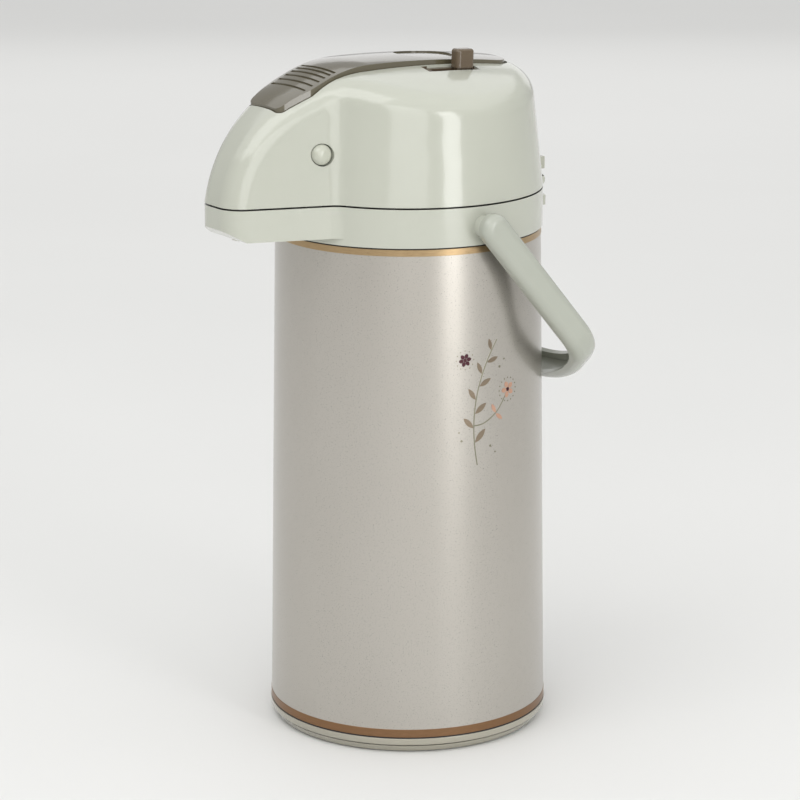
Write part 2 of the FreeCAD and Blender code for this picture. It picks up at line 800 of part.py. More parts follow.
n = Numbers()


def outline_wire(corners, level=0.0):
    """A closed wire of lines at one level, with an arc at each corner that has a radius."""
    count = len(corners)
    edges = []
    ends = []
    for i, corner in enumerate(corners):
        spot = (float(corner[0]), float(corner[1]))
        if len(corner) < 3:
            ends.append((spot, spot))
            continue
        following = corners[(i + 1) % count]
        start, end, centre, left = rounded_corner(corners[i - 1], spot, following, float(corner[2]))
        out = (spot[0] - centre[0], spot[1] - centre[1])
        share = float(corner[2]) / math.hypot(*out)
        middle = (centre[0] + out[0] * share, centre[1] + out[1] * share)
        edges.append(Part.Arc(V(*start, level), V(*middle, level), V(*end, level)).toShape())
        ends.append((start, end))
    for i in range(count):
        start = ends[i - 1][1]
        end = ends[i][0]
        edges.append(Part.LineSegment(V(*start, level), V(*end, level)).toShape())
    return Part.Wire(Part.__sortEdges__(edges))


def prism(corners, foot, top):
    """An upright prism over an outline in plan."""
    return Part.Face(outline_wire(corners, foot)).extrude(V(0, 0, top - foot))


def side_prism(corners, half_width):
    """A prism across the object from (forward, level) corners, centred on x = 0."""
    wire = Part.makePolygon([V(-half_width, -ahead, level) for ahead, level in corners + corners[:1]])
    return Part.Face(wire).extrude(V(2 * half_width, 0, 0))


def rod(radius, start, end):
    """A round bar from one point to another."""
    return Part.makeCylinder(radius, (end - start).Length, start, end - start)


def brick(low, high):
    """A box between its lowest and highest corners."""
    return Part.makeBox(high[0] - low[0], high[1] - low[1], high[2] - low[2], V(*low))


# Plan of the head: a circle with a tapering beak, joined by hollow arcs.
def in_plan(ahead, side, level):
    return V(side, -ahead, level)


def plan_wire(level, inset, front, corner=None):
    """The head's outline moved inwards, cut square at the front or rounded there."""
    angle = math.radians(n.flank_degrees)
    across = (math.sin(angle), math.cos(angle))
    along = (math.cos(angle), -math.sin(angle))
    radius = n.collar_radius - inset
    flank = n.flank_distance - inset
    joint = n.junction_radius + inset
    run = math.sqrt((radius + joint) ** 2 - (flank + joint) ** 2)
    centre = [across[k] * (flank + joint) + along[k] * run for k in (0, 1)]
    on_circle = [centre[k] * radius / (radius + joint) for k in (0, 1)]
    on_flank = [centre[k] - across[k] * joint for k in (0, 1)]
    inwards = [(on_circle[k] + on_flank[k]) / 2 - centre[k] for k in (0, 1)]
    share = joint / math.hypot(*inwards)
    middle = [centre[k] + inwards[k] * share for k in (0, 1)]
    edges = [Part.Arc(in_plan(on_circle[0], -on_circle[1], level), V(0, radius, level),
                      in_plan(on_circle[0], on_circle[1], level)).toShape()]
    if corner:
        ball = (front - corner, (flank - corner - across[0] * (front - corner)) / across[1])
        flank_end = (ball[0] + across[0] * corner, ball[1] + across[1] * corner)
        front_end = (front, ball[1])
        lean = math.hypot(1 + across[0], across[1])
        bend = (ball[0] + (1 + across[0]) / lean * corner, ball[1] + across[1] / lean * corner)
    else:
        flank_end = (front, (flank - across[0] * front) / across[1])
        front_end = flank_end
    for side in (1, -1):
        edges.append(Part.Arc(in_plan(on_circle[0], side * on_circle[1], level),
                              in_plan(middle[0], side * middle[1], level),
                              in_plan(on_flank[0], side * on_flank[1], level)).toShape())
        edges.append(Part.LineSegment(in_plan(on_flank[0], side * on_flank[1], level),
                                      in_plan(flank_end[0], side * flank_end[1], level)).toShape())
        if corner:
            edges.append(Part.Arc(in_plan(flank_end[0], side * flank_end[1], level),
                                  in_plan(bend[0], side * bend[1], level),
                                  in_plan(front_end[0], side * front_end[1], level)).toShape())
    edges.append(Part.LineSegment(in_plan(front_end[0], front_end[1], level),
                                  in_plan(front_end[0], -front_end[1], level)).toShape())
    return Part.Wire(Part.__sortEdges__(edges))


def collar_prism(inset, foot, top):
    wire = plan_wire(foot, inset, n.beak_reach - inset, n.shoulder_radius - inset)
    return Part.Face(wire).extrude(V(0, 0, top - foot))


def under_beak(depth):
    """What the sloping facet under the beak's tip takes away, moved inwards by a depth."""
    length = math.hypot(n.beak_chamfer_reach, n.beak_chamfer_rise)
    shift = (-depth * n.beak_chamfer_rise / length, depth * n.beak_chamfer_reach / length)
    low = (n.beak_reach - n.beak_chamfer_reach + shift[0], n.beak_foot_level + shift[1])
    slope = n.beak_chamfer_rise / n.beak_chamfer_reach
    far = n.beak_chamfer_reach * 3
    return side_prism([(low[0] - far, low[1] - far * slope), (low[0] + far, low[1] + far * slope),
                       (low[0] + far, low[1] - far)], n.collar_radius)


# Collar: the fixed lower half of the head, with the handle's pivots and the hinge's ears.
collar_top = float(collar_top_level)
handle_gap_face = n.handle_half_span - n.handle_thickness - n.loose_fit
collar_outside = Part.makeCylinder(n.collar_radius, collar_top - n.collar_foot_level,
                                   V(0, 0, n.collar_foot_level))
collar_outside = collar_outside.fuse(collar_prism(0, n.beak_foot_level, collar_top).cut(under_beak(0)))
collar_outside = collar_outside.removeSplitter()
collar_inside = collar_prism(n.collar_wall, n.deck_top_level, collar_top + 1).cut(under_beak(n.collar_wall))
collar_shape = collar_outside.cut(collar_inside)
collar_shape = collar_shape.cut(Part.makeCylinder(
    n.collar_hole_radius, n.deck_thickness * 2, V(0, 0, n.deck_top_level - n.deck_thickness * 1.5)))
collar_shape = collar_shape.cut(Part.makeCylinder(
    n.nozzle_radius + n.slip_fit, n.deck_top_level - n.beak_foot_level + 2,
    V(0, -n.nozzle_offset, n.beak_foot_level - 1)))
hook_inner = n.button_foot_offset - n.hook_thickness
nose_reach = n.button_foot_offset + n.hook_nose
for side in (1, -1):
    pivot = V(side * handle_gap_face, 0, n.pivot_level)
    boss_root = V(side * (n.collar_radius - n.collar_wall), 0, n.pivot_level)
    pivot_boss = rod(n.pivot_boss_radius, boss_root, pivot)
    pivot_boss = pivot_boss.makeFillet(1.0, [edge for edge in pivot_boss.Edges
                                             if abs(edge.CenterOfMass.x - pivot.x) < 0.01])
    collar_shape = collar_shape.fuse(pivot_boss)
    collar_shape = collar_shape.cut(rod(n.pivot_pin_radius + n.running_fit,
                                        V(side * n.pivot_pin_start, 0, n.pivot_level),
                                        V(side * n.handle_half_span, 0, n.pivot_level)))
    striker = sorted([side * (nose_reach + 0.4), side * n.collar_radius])
    striker = brick((striker[0], -n.button_forward - n.striker_length / 2, n.striker_level),
                    (striker[1], -n.button_forward + n.striker_length / 2,
                     n.striker_level + n.striker_thickness))
    collar_shape = collar_shape.fuse(striker.common(collar_outside))
    ear = sorted([side * (n.lid_knuckle_half_length + n.loose_fit), side * n.hinge_half_length])
    ear_root = n.collar_radius - n.collar_wall / 2
    knuckle = rod(n.knuckle_radius, V(ear[0], n.hinge_offset, n.hinge_level),
                  V(ear[1], n.hinge_offset, n.hinge_level))
    ear_web = brick((ear[0], ear_root - 1, n.hinge_ear_foot), (ear[1], n.hinge_offset, collar_top))
    collar_shape = collar_shape.fuse(knuckle).fuse(ear_web)
stop = prism([(-n.stop_half_width, n.collar_radius - n.collar_wall),
              (n.stop_half_width, n.collar_radius - n.collar_wall),
              (n.stop_half_width, n.stop_reach, 2.0), (-n.stop_half_width, n.stop_reach, 2.0)],
             n.stop_foot_level, n.stop_foot_level + n.stop_height)
collar_shape = collar_shape.fuse(stop.cut(Part.makeCylinder(
    n.collar_radius - n.collar_wall / 2, n.stop_height * 3, V(0, 0, n.stop_foot_level - n.stop_height))))
collar_shape = collar_shape.cut(rod(n.hinge_pin_radius + n.running_fit,
                                    V(-n.hinge_half_length, n.hinge_offset, n.hinge_level),
                                    V(n.hinge_half_length, n.hinge_offset, n.hinge_level)))
sleeve_recess = Part.makeCylinder(n.sleeve_top_radius + n.slip_fit,
                                  float(deck_foot_level) - n.collar_foot_level,
                                  V(0, 0, n.collar_foot_level))
collar = shaped("collar", collar_shape.cut(sleeve_recess).removeSplitter().Solids[0])

hinge_pin = new_body("hinge_pin")
hinge_pin.Tip = barrel(hinge_pin, "hinge_pin_bar", s.hinge_pin_radius, s.hinge_half_length * 2,
                       x=-s.hinge_half_length, y=s.hinge_offset, z=s.hinge_level,
                       axis=V(0, 1, 0), degrees=90)

# Handle: a channel-section bail with round ends, hung on two stub pins.
pin_length = s.handle_half_span - s.handle_thickness + s.pivot_pin_depth - s.pivot_pin_start
for name, side in (("left", -1), ("right", 1)):
    stub = new_body("handle_pin_" + name)
    stub.Tip = barrel(stub, "stub_" + name, s.pivot_pin_radius, pin_length,
                      x=s.pivot_pin_start * side, z=s.pivot_level, axis=V(0, 1, 0), degrees=90 * side)


def bail_face(depth, start):
    """The bail's flat outline in its own plane, moved inwards, from a start along its arms."""
    half = n.handle_half_span - depth
    corner = n.handle_corner_radius - depth
    bow = n.handle_bow_radius - depth
    middle = n.handle_reach - n.handle_bow_radius
    side = half - corner
    arm = middle + math.sqrt((bow - corner) ** 2 - side ** 2)
    lean = math.atan2(arm - middle, side)
    meet = (bow * math.cos(lean), middle + bow * math.sin(lean))
    turn = lean / 2
    bend = (side + corner * math.cos(turn), arm + corner * math.sin(turn))
    edges = [Part.Arc(V(meet[0], meet[1], 0), V(0, middle + bow, 0), V(-meet[0], meet[1], 0)).toShape()]
    for way in (1, -1):
        edges.append(Part.Arc(V(way * meet[0], meet[1], 0), V(way * bend[0], bend[1], 0),
                              V(way * half, arm, 0)).toShape())
        edges.append(Part.LineSegment(V(way * half, arm, 0), V(way * half, start, 0)).toShape())
    edges.append(Part.LineSegment(V(half, start, 0), V(-half, start, 0)).toShape())
    return Part.Face(Part.Wire(Part.__sortEdges__(edges)))


def bail_slab(depth, start, half_width):
    face = bail_face(depth, start)
    face.translate(V(0, 0, -half_width))
    return face.extrude(V(0, 0, 2 * half_width))


half_handle = n.handle_width / 2
end_block = brick((-n.handle_half_span, -half_handle, -half_handle),
                  (n.handle_half_span, 0, half_handle))
end_round = rod(half_handle, V(-n.handle_half_span, 0, 0), V(n.handle_half_span, 0, 0))
handle_shape = bail_slab(0, 0, half_handle).fuse(end_block.common(end_round)).removeSplitter()
rim = [edge for edge in handle_shape.Edges if abs(edge.CenterOfMass.y) > 0.01
       and (abs(abs(edge.CenterOfMass.z) - half_handle) < 0.01
            or abs(abs(edge.CenterOfMass.x) - n.handle_half_span) < 0.01)]
handle_shape = handle_shape.makeFillet(n.handle_edge_round, rim)
handle_shape = handle_shape.cut(bail_slab(n.handle_thickness, -half_handle * 2, half_handle * 2))
groove_depth = n.handle_thickness - n.handle_wall
groove = bail_slab(n.handle_wall, n.handle_groove_start, half_handle - n.handle_wall)
handle_shape = handle_shape.cut(groove)
handle_shape = handle_shape.cut(rod(n.pivot_pin_radius + n.running_fit,
                                    V(-(handle_gap_face + n.pivot_pin_depth + n.loose_fit * 2), 0, 0),
                                    V(handle_gap_face + n.pivot_pin_depth + n.loose_fit * 2, 0, 0)))
handle = shaped("handle", handle_shape.Solids[0])
handle.Placement = FreeCAD.Placement(V(0, 0, n.pivot_level),
                                     FreeCAD.Rotation(V(1, 0, 0), n.handle_rest_degrees - 90))


# Lid: the drafted plan of the head under a roof of arcs, with every top edge rounded.
def head_block(inset):
    """The lid's solid form moved inwards, before its top edges are rounded."""
    foot = float(lid_foot_level)
    height = n.beak_reach
    shrink = math.tan(math.radians(n.draft_degrees)) * height
    front = n.beak_reach + n.shoulder_radius
    plan = Part.makeLoft([plan_wire(foot, inset, front),
                          plan_wire(foot + height, inset + shrink, front)], True, True)
    lean = math.radians(n.nose_lean_degrees)
    slope = math.radians(90 - n.brow_degrees)
    nose_centre = (float(nose_centre_reach), float(nose_centre_level))
    crown_slope = math.radians(90 - n.crown_end_degrees)
    crown_centre = (float(crown_centre_reach), float(crown_centre_level))
    roof_centre = (float(roof_reach), float(roof_centre_level))
    low = foot - n.nose_radius
    rear = -n.collar_radius - n.shoulder_radius * 2

    def around(centre, radius, angle):
        return V(0, -(centre[0] + (radius - inset) * math.cos(angle)),
                 centre[1] + (radius - inset) * math.sin(angle))

    def arc(centre, radius, first, last):
        spots = [around(centre, radius, angle) for angle in (first, (first + last) / 2, last)]
        return Part.Arc(*spots).toShape()

    nose_foot = around(nose_centre, n.nose_radius, lean)
    brow_foot = around(nose_centre, n.nose_radius, slope)
    brow_head = around(crown_centre, n.crown_radius, slope)
    roof_end_angle = math.pi / 2 + math.asin((roof_centre[0] - rear) / (n.roof_radius - inset))
    roof_end = around(roof_centre, n.roof_radius, roof_end_angle)
    front_low = V(0, nose_foot.y - (nose_foot.z - low) * math.tan(lean), low)
    rear_low = V(0, roof_end.y, low)
    profile = Part.Face(Part.Wire([
        Part.LineSegment(front_low, nose_foot).toShape(),
        arc(nose_centre, n.nose_radius, lean, slope),
        Part.LineSegment(brow_foot, brow_head).toShape(),
        arc(crown_centre, n.crown_radius, slope, crown_slope),
        arc(roof_centre, n.roof_radius, crown_slope, roof_end_angle),
        Part.LineSegment(roof_end, rear_low).toShape(),
        Part.LineSegment(rear_low, front_low).toShape()]))
    axis_level = float(roof_top_level) - n.cross_crown_radius
    halves = [profile.copy().revolve(V(0, 0, axis_level), V(0, 1, 0), turn) for turn in (45, -45)]
    return plan.common(halves[0].fuse(halves[1]).removeSplitter()).Solids[0]


def lid_block(inset):
    """The lid's solid form moved inwards, with its top edges rounded."""
    rough = head_block(inset)
    sharp = [edge for edge in rough.Edges if is_sharp(rough, edge, float(lid_foot_level))]
    return rough.makeFillet(n.shoulder_radius - inset, sharp)


def is_sharp(solid, edge, foot):
    """Whether an edge above the foot turns by more than a quarter of a right angle or so."""
    faces = [face for face in solid.Faces if any(other.isSame(edge) for other in face.Edges)]
    spot = edge.valueAt((edge.FirstParameter + edge.LastParameter) / 2)
    if len(faces) != 2 or abs(spot.z - foot) < 0.01:
        return False
    normals = [face.normalAt(*face.Surface.parameter(spot)) for face in faces]
    return math.degrees(normals[0].getAngle(normals[1])) > 25


def plate_outline(grow, rear_grow):
    """Corners of the push plate in plan, grown all round and at its rear."""
    right = [
        (n.plate_front_half_width + grow, -(n.plate_front + grow), n.plate_front_corner + grow),
        (n.plate_half_width + grow, -n.plate_wide_start),
        (n.plate_half_width + grow, n.plate_rear + rear_grow, n.plate_rear_corner + grow),
    ]
    left = [(-corner[0],) + corner[1:] for corner in reversed(right)]
    return right + left


def slot_prism(width, front, rear, foot, top):
    """An upright slot with round ends around the lock knob's path."""
    end = width / 2 - 0.01
    return prism([(n.slot_offset - width / 2, -front, end), (n.slot_offset + width / 2, -front, end),
                  (n.slot_offset + width / 2, rear, end), (n.slot_offset - width / 2, rear, end)], foot, top)


lid_foot = float(lid_foot_level)
above = float(roof_top_level) + 10
lid_outside = lid_block(0)
lid_wall_shape = lid_outside.cut(lid_block(n.lid_wall))
lid_shape = lid_wall_shape.cut(prism(plate_outline(n.plate_gap, n.plate_rear_gap),
                                     n.button_level, above))
lid_recess = lid_outside.cut(lid_block(n.slot_recess_depth))
recess_margin = (n.slot_recess_width - n.slot_width) / 2
lid_shape = lid_shape.cut(lid_recess.common(slot_prism(
    n.slot_recess_width, n.slot_recess_front, n.slot_rear + recess_margin, n.button_level, above)))
lid_shape = lid_shape.cut(slot_prism(n.slot_width, n.slot_front, n.slot_rear, n.button_level, above))
for side in (1, -1):
    lid_shape = lid_shape.cut(rod(n.button_radius + n.button_gap,
                                  V(side * n.plate_pin_half_length, -n.button_forward, n.button_level),
                                  V(side * n.collar_radius, -n.button_forward, n.button_level)))
    boss = rod(n.plate_lug_radius, V(side * n.plate_boss_start, -n.plate_pin_offset, n.plate_pin_level),
               V(side * n.collar_radius, -n.plate_pin_offset, n.plate_pin_level))
    lid_shape = lid_shape.fuse(boss.common(lid_outside))
    lid_shape = lid_shape.cut(rod(n.plate_pin_radius + n.running_fit,
                                  V(0, -n.plate_pin_offset, n.plate_pin_level),
                                  V(side * (n.plate_pin_half_length + n.slip_fit), -n.plate_pin_offset,
                                    n.plate_pin_level)))
    stem_slot = n.detach_stem_radius + n.slip_fit
    stem_level = n.detach_level + n.detach_height / 2
    lid_shape = lid_shape.cut(brick(
        (side * n.detach_stem_side - stem_slot, n.collar_radius / 2,
         stem_level - stem_slot - n.detach_travel),
        (side * n.detach_stem_side + stem_slot, n.collar_radius + 1, stem_level + stem_slot)))
screw_foot = float(lid_base_top) + n.slip_fit
for quarter in range(int(n.lid_screw_count)):
    turn = math.radians(n.lid_post_degrees if quarter % 2 == 0 else 180 - n.lid_post_degrees)
    turn = turn + math.pi * (quarter // 2)
    place_of_post = V(n.lid_post_circle * math.cos(turn), n.lid_post_circle * math.sin(turn), screw_foot)
    post = Part.makeCylinder(n.lid_post_radius, n.lid_post_height, place_of_post).common(lid_outside)
    hole = Part.makeCylinder(n.lid_screw_shank + n.running_fit, n.lid_post_height - 2, place_of_post)
    lid_shape = lid_shape.fuse(post).cut(hole)
notch_half = n.lid_knuckle_half_length + n.slip_fit
lid_shape = lid_shape.cut(brick((-notch_half, n.collar_radius / 2, lid_foot - 1),
                                (notch_half, n.collar_radius + 1, n.bracket_top_level + n.slip_fit)))
lid_shell = shaped("lid_shell", lid_shape.removeSplitter().Solids[0])

# Hinge bracket: a steel-hard insert in the lid's rear wall that carries the middle knuckle.
arm_foot = lid_foot + n.loose_fit
bracket_shape = lid_wall_shape.common(brick((-n.lid_knuckle_half_length, n.collar_radius / 2, arm_foot),
                                            (n.lid_knuckle_half_length, n.collar_radius + 1,
                                             n.bracket_top_level)))
bracket_arm = brick((-n.lid_knuckle_half_length, n.collar_radius - n.lid_wall / 2, arm_foot),
                    (n.lid_knuckle_half_length, n.hinge_offset, arm_foot + n.bracket_arm))
bracket_leg = brick((-n.lid_knuckle_half_length, n.hinge_offset - n.knuckle_radius, n.hinge_level),
                    (n.lid_knuckle_half_length, n.hinge_offset + 1, arm_foot + n.bracket_arm))
bracket_barrel = rod(n.knuckle_radius, V(-n.lid_knuckle_half_length, n.hinge_offset, n.hinge_level),
                     V(n.lid_knuckle_half_length, n.hinge_offset, n.hinge_level))
bracket_shape = bracket_shape.fuse([bracket_arm, bracket_leg, bracket_barrel])
bracket_shape = bracket_shape.cut(rod(n.hinge_pin_radius + n.running_fit,
                                      V(-n.hinge_half_length, n.hinge_offset, n.hinge_level),
                                      V(n.hinge_half_length, n.hinge_offset, n.hinge_level)))
hinge_bracket = shaped("hinge_bracket", bracket_shape.removeSplitter().Solids[0])

# Detach lever behind the hinge: pressed down, it frees the lid for washing.
detach_lever = new_body("detach_lever")
block(detach_lever, "lever_plate", s.detach_half_width * 2, s.detach_reach - s.collar_radius + s.lid_wall,
      s.detach_height, x=-s.detach_half_width, y=s.collar_radius - s.lid_wall, z=s.detach_level)
barrel(detach_lever, "lever_hollow", s.collar_radius + s.loose_fit, s.detach_height * 2, cut=True,
       z=s.detach_level - s.detach_height / 2)
for name, side in (("left", -1), ("right", 1)):
    detach_lever.Tip = barrel(detach_lever, "lever_stem_" + name, s.detach_stem_radius, s.detach_stem_length,
                              x=s.detach_stem_side * side, y=s.collar_radius + 1.2,
                              z=s.detach_level + s.detach_height / 2, axis=V(1, 0, 0), degrees=90)

# Lid base: the flat floor of the lid, with a ring that presses the stopper down.
lid_base = new_body("lid_base")
lid_base_inset = s.lid_wall + s.lid_base_lift + s.loose_fit
base_half = s.flank_distance - lid_base_inset
beak_front = s.beak_reach - lid_base_inset - s.loose_fit * 2
front_half = (base_half - beak_front * sine(s.flank_degrees)) / cosine(s.flank_degrees)
rear_half = base_half / cosine(s.flank_degrees)
beak_round = s.shoulder_radius - lid_base_inset
beak_outline = new_sketch(lid_base, "lid_base_beak", "XY_Plane")
draw(beak_outline, [(-front_half, -beak_front, beak_round), (front_half, -beak_front, beak_round),
                    (rear_half, 0), (-rear_half, 0)])
beak_pad = lid_base.newObject("PartDesign::Pad", "lid_base_beak_pad")
beak_pad.Profile = beak_outline
bind(beak_pad, "Length", s.lid_base_thickness)
bind(beak_outline, "AttachmentOffset.Base.z", lid_base_level)
barrel(lid_base, "lid_base_disc", s.collar_radius - lid_base_inset, s.lid_base_thickness, z=lid_base_level)
barrel(lid_base, "press_ring", s.stopper_radius, lid_base_level - s.stopper_top_level,
       z=s.stopper_top_level)
barrel(lid_base, "lid_base_hole", s.chamber_radius + s.slip_fit, lid_base_top - s.stopper_top_level + 1,
       cut=True, z=s.stopper_top_level - 0.5)
post_height = s.button_level + s.button_spring_radius + 2 - lid_base_top
for name, side in (("left", -1), ("right", 1)):
    post_x = s.spring_post_offset * side - s.spring_post_thickness / 2 + s.spring_post_thickness / 2 * side
    block(lid_base, "spring_post_" + name, s.spring_post_thickness, s.spring_post_width, post_height,
          x=post_x, y=-s.button_forward - s.spring_post_width / 2, z=lid_base_top)
    slot_length = s.hook_thickness + s.hook_nose + s.button_travel + s.loose_fit * 2
    slot_middle = (s.button_foot_offset + (s.hook_nose - s.hook_thickness - s.button_travel) / 2) * side
    block(lid_base, "hook_slot_" + name, slot_length, s.hook_width + s.loose_fit * 2,
          s.lid_base_thickness + 1, cut=True, x=slot_middle - slot_length / 2,
          y=-s.button_forward - s.hook_width / 2 - s.loose_fit, z=lid_base_level - 0.5)
for quarter in range(int(n.lid_screw_count)):
    turn = s.lid_post_degrees if quarter % 2 == 0 else 180 - s.lid_post_degrees
    turn = turn + 180 * (quarter // 2)
    lid_base.Tip = barrel(lid_base, "lid_screw_hole_%d" % (quarter + 1), s.lid_screw_shank + s.slip_fit,
                          s.lid_base_thickness + 1, cut=True, x=s.lid_post_circle * cosine(turn),
                          y=s.lid_post_circle * sine(turn), z=lid_base_level - 0.5)

lid_screws = loose_body("lid_screws")
lid_screw_length = s.lid_base_thickness + s.lid_post_height - 4
for quarter in range(int(n.lid_screw_count)):
    turn = s.lid_post_degrees if quarter % 2 == 0 else 180 - s.lid_post_degrees
    turn = turn + 180 * (quarter // 2)
    spot = {"x": s.lid_post_circle * cosine(turn), "y": s.lid_post_circle * sine(turn)}
    barrel(lid_screws, "lid_screw_head_%d" % (quarter + 1), s.lid_screw_head, s.lid_screw_head_height,
           z=lid_base_level - s.lid_screw_head_height, **spot)
    lid_screws.Tip = barrel(lid_screws, "lid_screw_shank_%d" % (quarter + 1), s.lid_screw_shank,
                            lid_screw_length, z=lid_base_level, **spot)

# Pump: a cup in the lid's floor, the bellows and its spring, and the cap that the plate presses.
chamber_floor_top = s.stopper_top_level + s.chamber_wall
chamber_top = chamber_floor_top + s.chamber_height
pump_chamber = turned("pump_chamber", [
    (s.air_bore_radius, s.stopper_top_level),
    (s.chamber_radius, s.stopper_top_level),
    (s.chamber_radius, lid_base_top),
    (s.chamber_radius + s.chamber_flange, lid_base_top),
    (s.chamber_radius + s.chamber_flange, lid_base_top + s.chamber_wall),
    (s.chamber_radius, lid_base_top + s.chamber_wall),
    (s.chamber_radius, chamber_top),
    (s.chamber_radius - s.chamber_wall, chamber_top),
    (s.chamber_radius - s.chamber_wall, chamber_floor_top),
    (s.air_bore_radius, chamber_floor_top),
])

stopper = turned("stopper", [
    (0, stopper_foot_level),
    (s.stopper_radius, stopper_foot_level),
    (s.stopper_radius, s.stopper_top_level),
    (0, s.stopper_top_level),
])
barrel(stopper, "stopper_plug", s.stopper_plug_radius, s.stopper_plug_depth + 0.5, y=s.stopper_plug_offset,
       z=stopper_foot_level - s.stopper_plug_depth)
stopper.Tip = barrel(stopper, "air_bore", s.air_bore_radius, s.stopper_plug_depth + s.stopper_thickness + 1,
                     cut=True, z=stopper_foot_level - s.stopper_plug_depth - 0.5)

gasket_foot_level = s.mouth_top_level + s.loose_fit
stopper_gasket = turned("stopper_gasket", [
    (s.stopper_radius - s.gasket_width, gasket_foot_level),
    (s.stopper_radius, gasket_foot_level),
    (s.stopper_radius, stopper_foot_level),
    (s.stopper_radius - s.gasket_width, stopper_foot_level),
])

bellows_height = s.bellows_top_level - s.slip_fit - chamber_floor_top
fold_height = bellows_height / n.bellows_folds
bellows_skin = s.bellows_wall * 1.4
folds = [(s.bellows_radius - s.bellows_depth, chamber_floor_top)]
for fold in range(int(n.bellows_folds)):
    folds.append((s.bellows_radius, chamber_floor_top + fold_height * (fold + 0.5)))
    folds.append((s.bellows_radius - s.bellows_depth, chamber_floor_top + fold_height * (fold + 1)))
bellows = turned("bellows", folds + [(radius - bellows_skin, level) for radius, level in reversed(folds)])


def arc_from(start, way, end):
    """An arc that leaves a point in a given direction and ends at another."""
    chord = end - start
    side = way - chord * (way.dot(chord) / chord.dot(chord))
    half_turn = way.getAngle(chord) / 2
    middle = (start + end) / 2 + side.normalize() * (chord.Length / 2 * math.tan(half_turn))
    return Part.Arc(start, middle, end).toShape()


def coil(radius, wire, turns, height):
    """A spring's wire about the Z axis: quarter turns of a helix, each of two joined arcs."""
    rise = height / turns / (2 * math.pi)
    length = math.hypot(radius, rise)

    def spot(turn):
        return V(radius * math.cos(turn), radius * math.sin(turn), rise * turn)

    def way(turn):
        return V(-radius * math.sin(turn), radius * math.cos(turn), rise) / length

    edges = []
    for quarter in range(int(turns * 4)):
        first, last = quarter * math.pi / 2, (quarter + 1) * math.pi / 2
        chord = spot(last) - spot(first)
        both = way(first) + way(last)
        spread = 2 * (1 - way(first).dot(way(last)))
        along = chord.dot(both)
        reach = (math.sqrt(along * along + spread * chord.dot(chord)) - along) / spread
        joint = (spot(first) + spot(last) + (way(first) - way(last)) * reach) / 2
        edges.append(arc_from(spot(first), way(first), joint))
        edges.append(arc_from(joint, (joint - spot(first) - way(first) * reach).normalize(), spot(last)))
    section = Part.Wire(Part.makeCircle(wire, spot(0), way(0)))
    return Part.Wire(edges).makePipeShell([section], True, False)


spring_room = float(bellows_height) - n.spring_wire * 2 - n.slip_fit
bellows_spring = shaped("bellows_spring", coil(n.spring_radius, n.spring_wire, n.spring_turns, spring_room))
bellows_spring.Placement = FreeCAD.Placement(
    V(0, 0, float(chamber_floor_top) + n.spring_wire + n.slip_fit / 2), FreeCAD.Rotation())

plate_drop = s.plate_tilt_reach * sine(s.plate_tilt_degrees)
cap_apex_level = roof_level(s.plate_shift) + s.plate_rise - plate_drop - s.plate_thickness - s.cap_play
cap_slope_run = (s.cap_stem_radius - s.cap_apex_radius) / 2
pump_cap = turned("pump_cap", [
    (s.valve_stud_radius + s.running_fit, s.bellows_top_level),
    (s.bellows_radius, s.bellows_top_level),
    (s.bellows_radius, s.bellows_top_level + s.cap_thickness),
    (s.cap_stem_radius, s.bellows_top_level + s.cap_thickness),
    (s.cap_stem_radius, cap_apex_level - cap_slope_run),
    (s.cap_apex_radius, cap_apex_level),
    (s.valve_stud_radius + s.running_fit, cap_apex_level),
])
air_valve = turned("air_valve", [
    (0, s.bellows_top_level - s.valve_thickness),
    (s.valve_radius, s.bellows_top_level - s.valve_thickness),
    (s.valve_radius, s.bellows_top_level),
    (s.valve_stud_radius, s.bellows_top_level),
    (s.valve_stud_radius, s.bellows_top_level + s.cap_thickness * 2),
    (0, s.bellows_top_level + s.cap_thickness * 2),
])

# Push plate: a curved plate that stands a little above the roof, with a skirt, hinged
# at its front edge.
def plate_block(depth):
    """The push plate's form moved inwards: the head's, raised, set back and tilted."""
    form = head_block(depth)
    form.Placement = FreeCAD.Placement(V(0, n.plate_shift, n.plate_rise),
                                       FreeCAD.Rotation(V(1, 0, 0), -n.plate_tilt_degrees),
                                       V(0, -n.plate_tilt_reach, float(roof_top_level)))
    return form


plate_outside = plate_block(0)
skin = plate_outside.cut(plate_block(n.plate_thickness)).common(
    prism(plate_outline(0, 0), n.button_level, above))
skirt = prism(plate_outline(0, 0), n.button_level, above)
skirt = skirt.cut(prism(plate_outline(-n.skirt_wall, -n.skirt_wall), n.button_level, above))
skirt = skirt.common(plate_outside).common(side_prism(
    [(n.plate_front + 1, n.skirt_front_level), (-n.plate_rear - 1, n.skirt_rear_level),
     (-n.plate_rear - 1, above), (n.plate_front + 1, above)], n.plate_half_width + 1))
plate_shape = skin.fuse(skirt)
for side in (1, -1):
    lug = sorted([side * n.plate_lug_offset, side * (n.plate_lug_offset + n.plate_lug_thickness)])
    lug_bar = rod(n.plate_lug_radius, V(lug[0], -n.plate_pin_offset, n.plate_pin_level),
                  V(lug[1], -n.plate_pin_offset, n.plate_pin_level))
    lug_web = brick((lug[0], -n.plate_pin_offset - n.plate_lug_radius / 2, n.plate_pin_level),
                    (lug[1], -n.plate_pin_offset + n.plate_lug_radius, above)).common(plate_outside)
    plate_shape = plate_shape.fuse([lug_bar, lug_web])
plate_shape = plate_shape.cut(rod(n.plate_pin_radius + n.running_fit,
                                  V(-n.collar_radius, -n.plate_pin_offset, n.plate_pin_level),
                                  V(n.collar_radius, -n.plate_pin_offset, n.plate_pin_level)))
plate_marks = Part.makeCylinder(n.dish_radius, above - n.button_level, V(0, n.dish_centre, n.button_level))
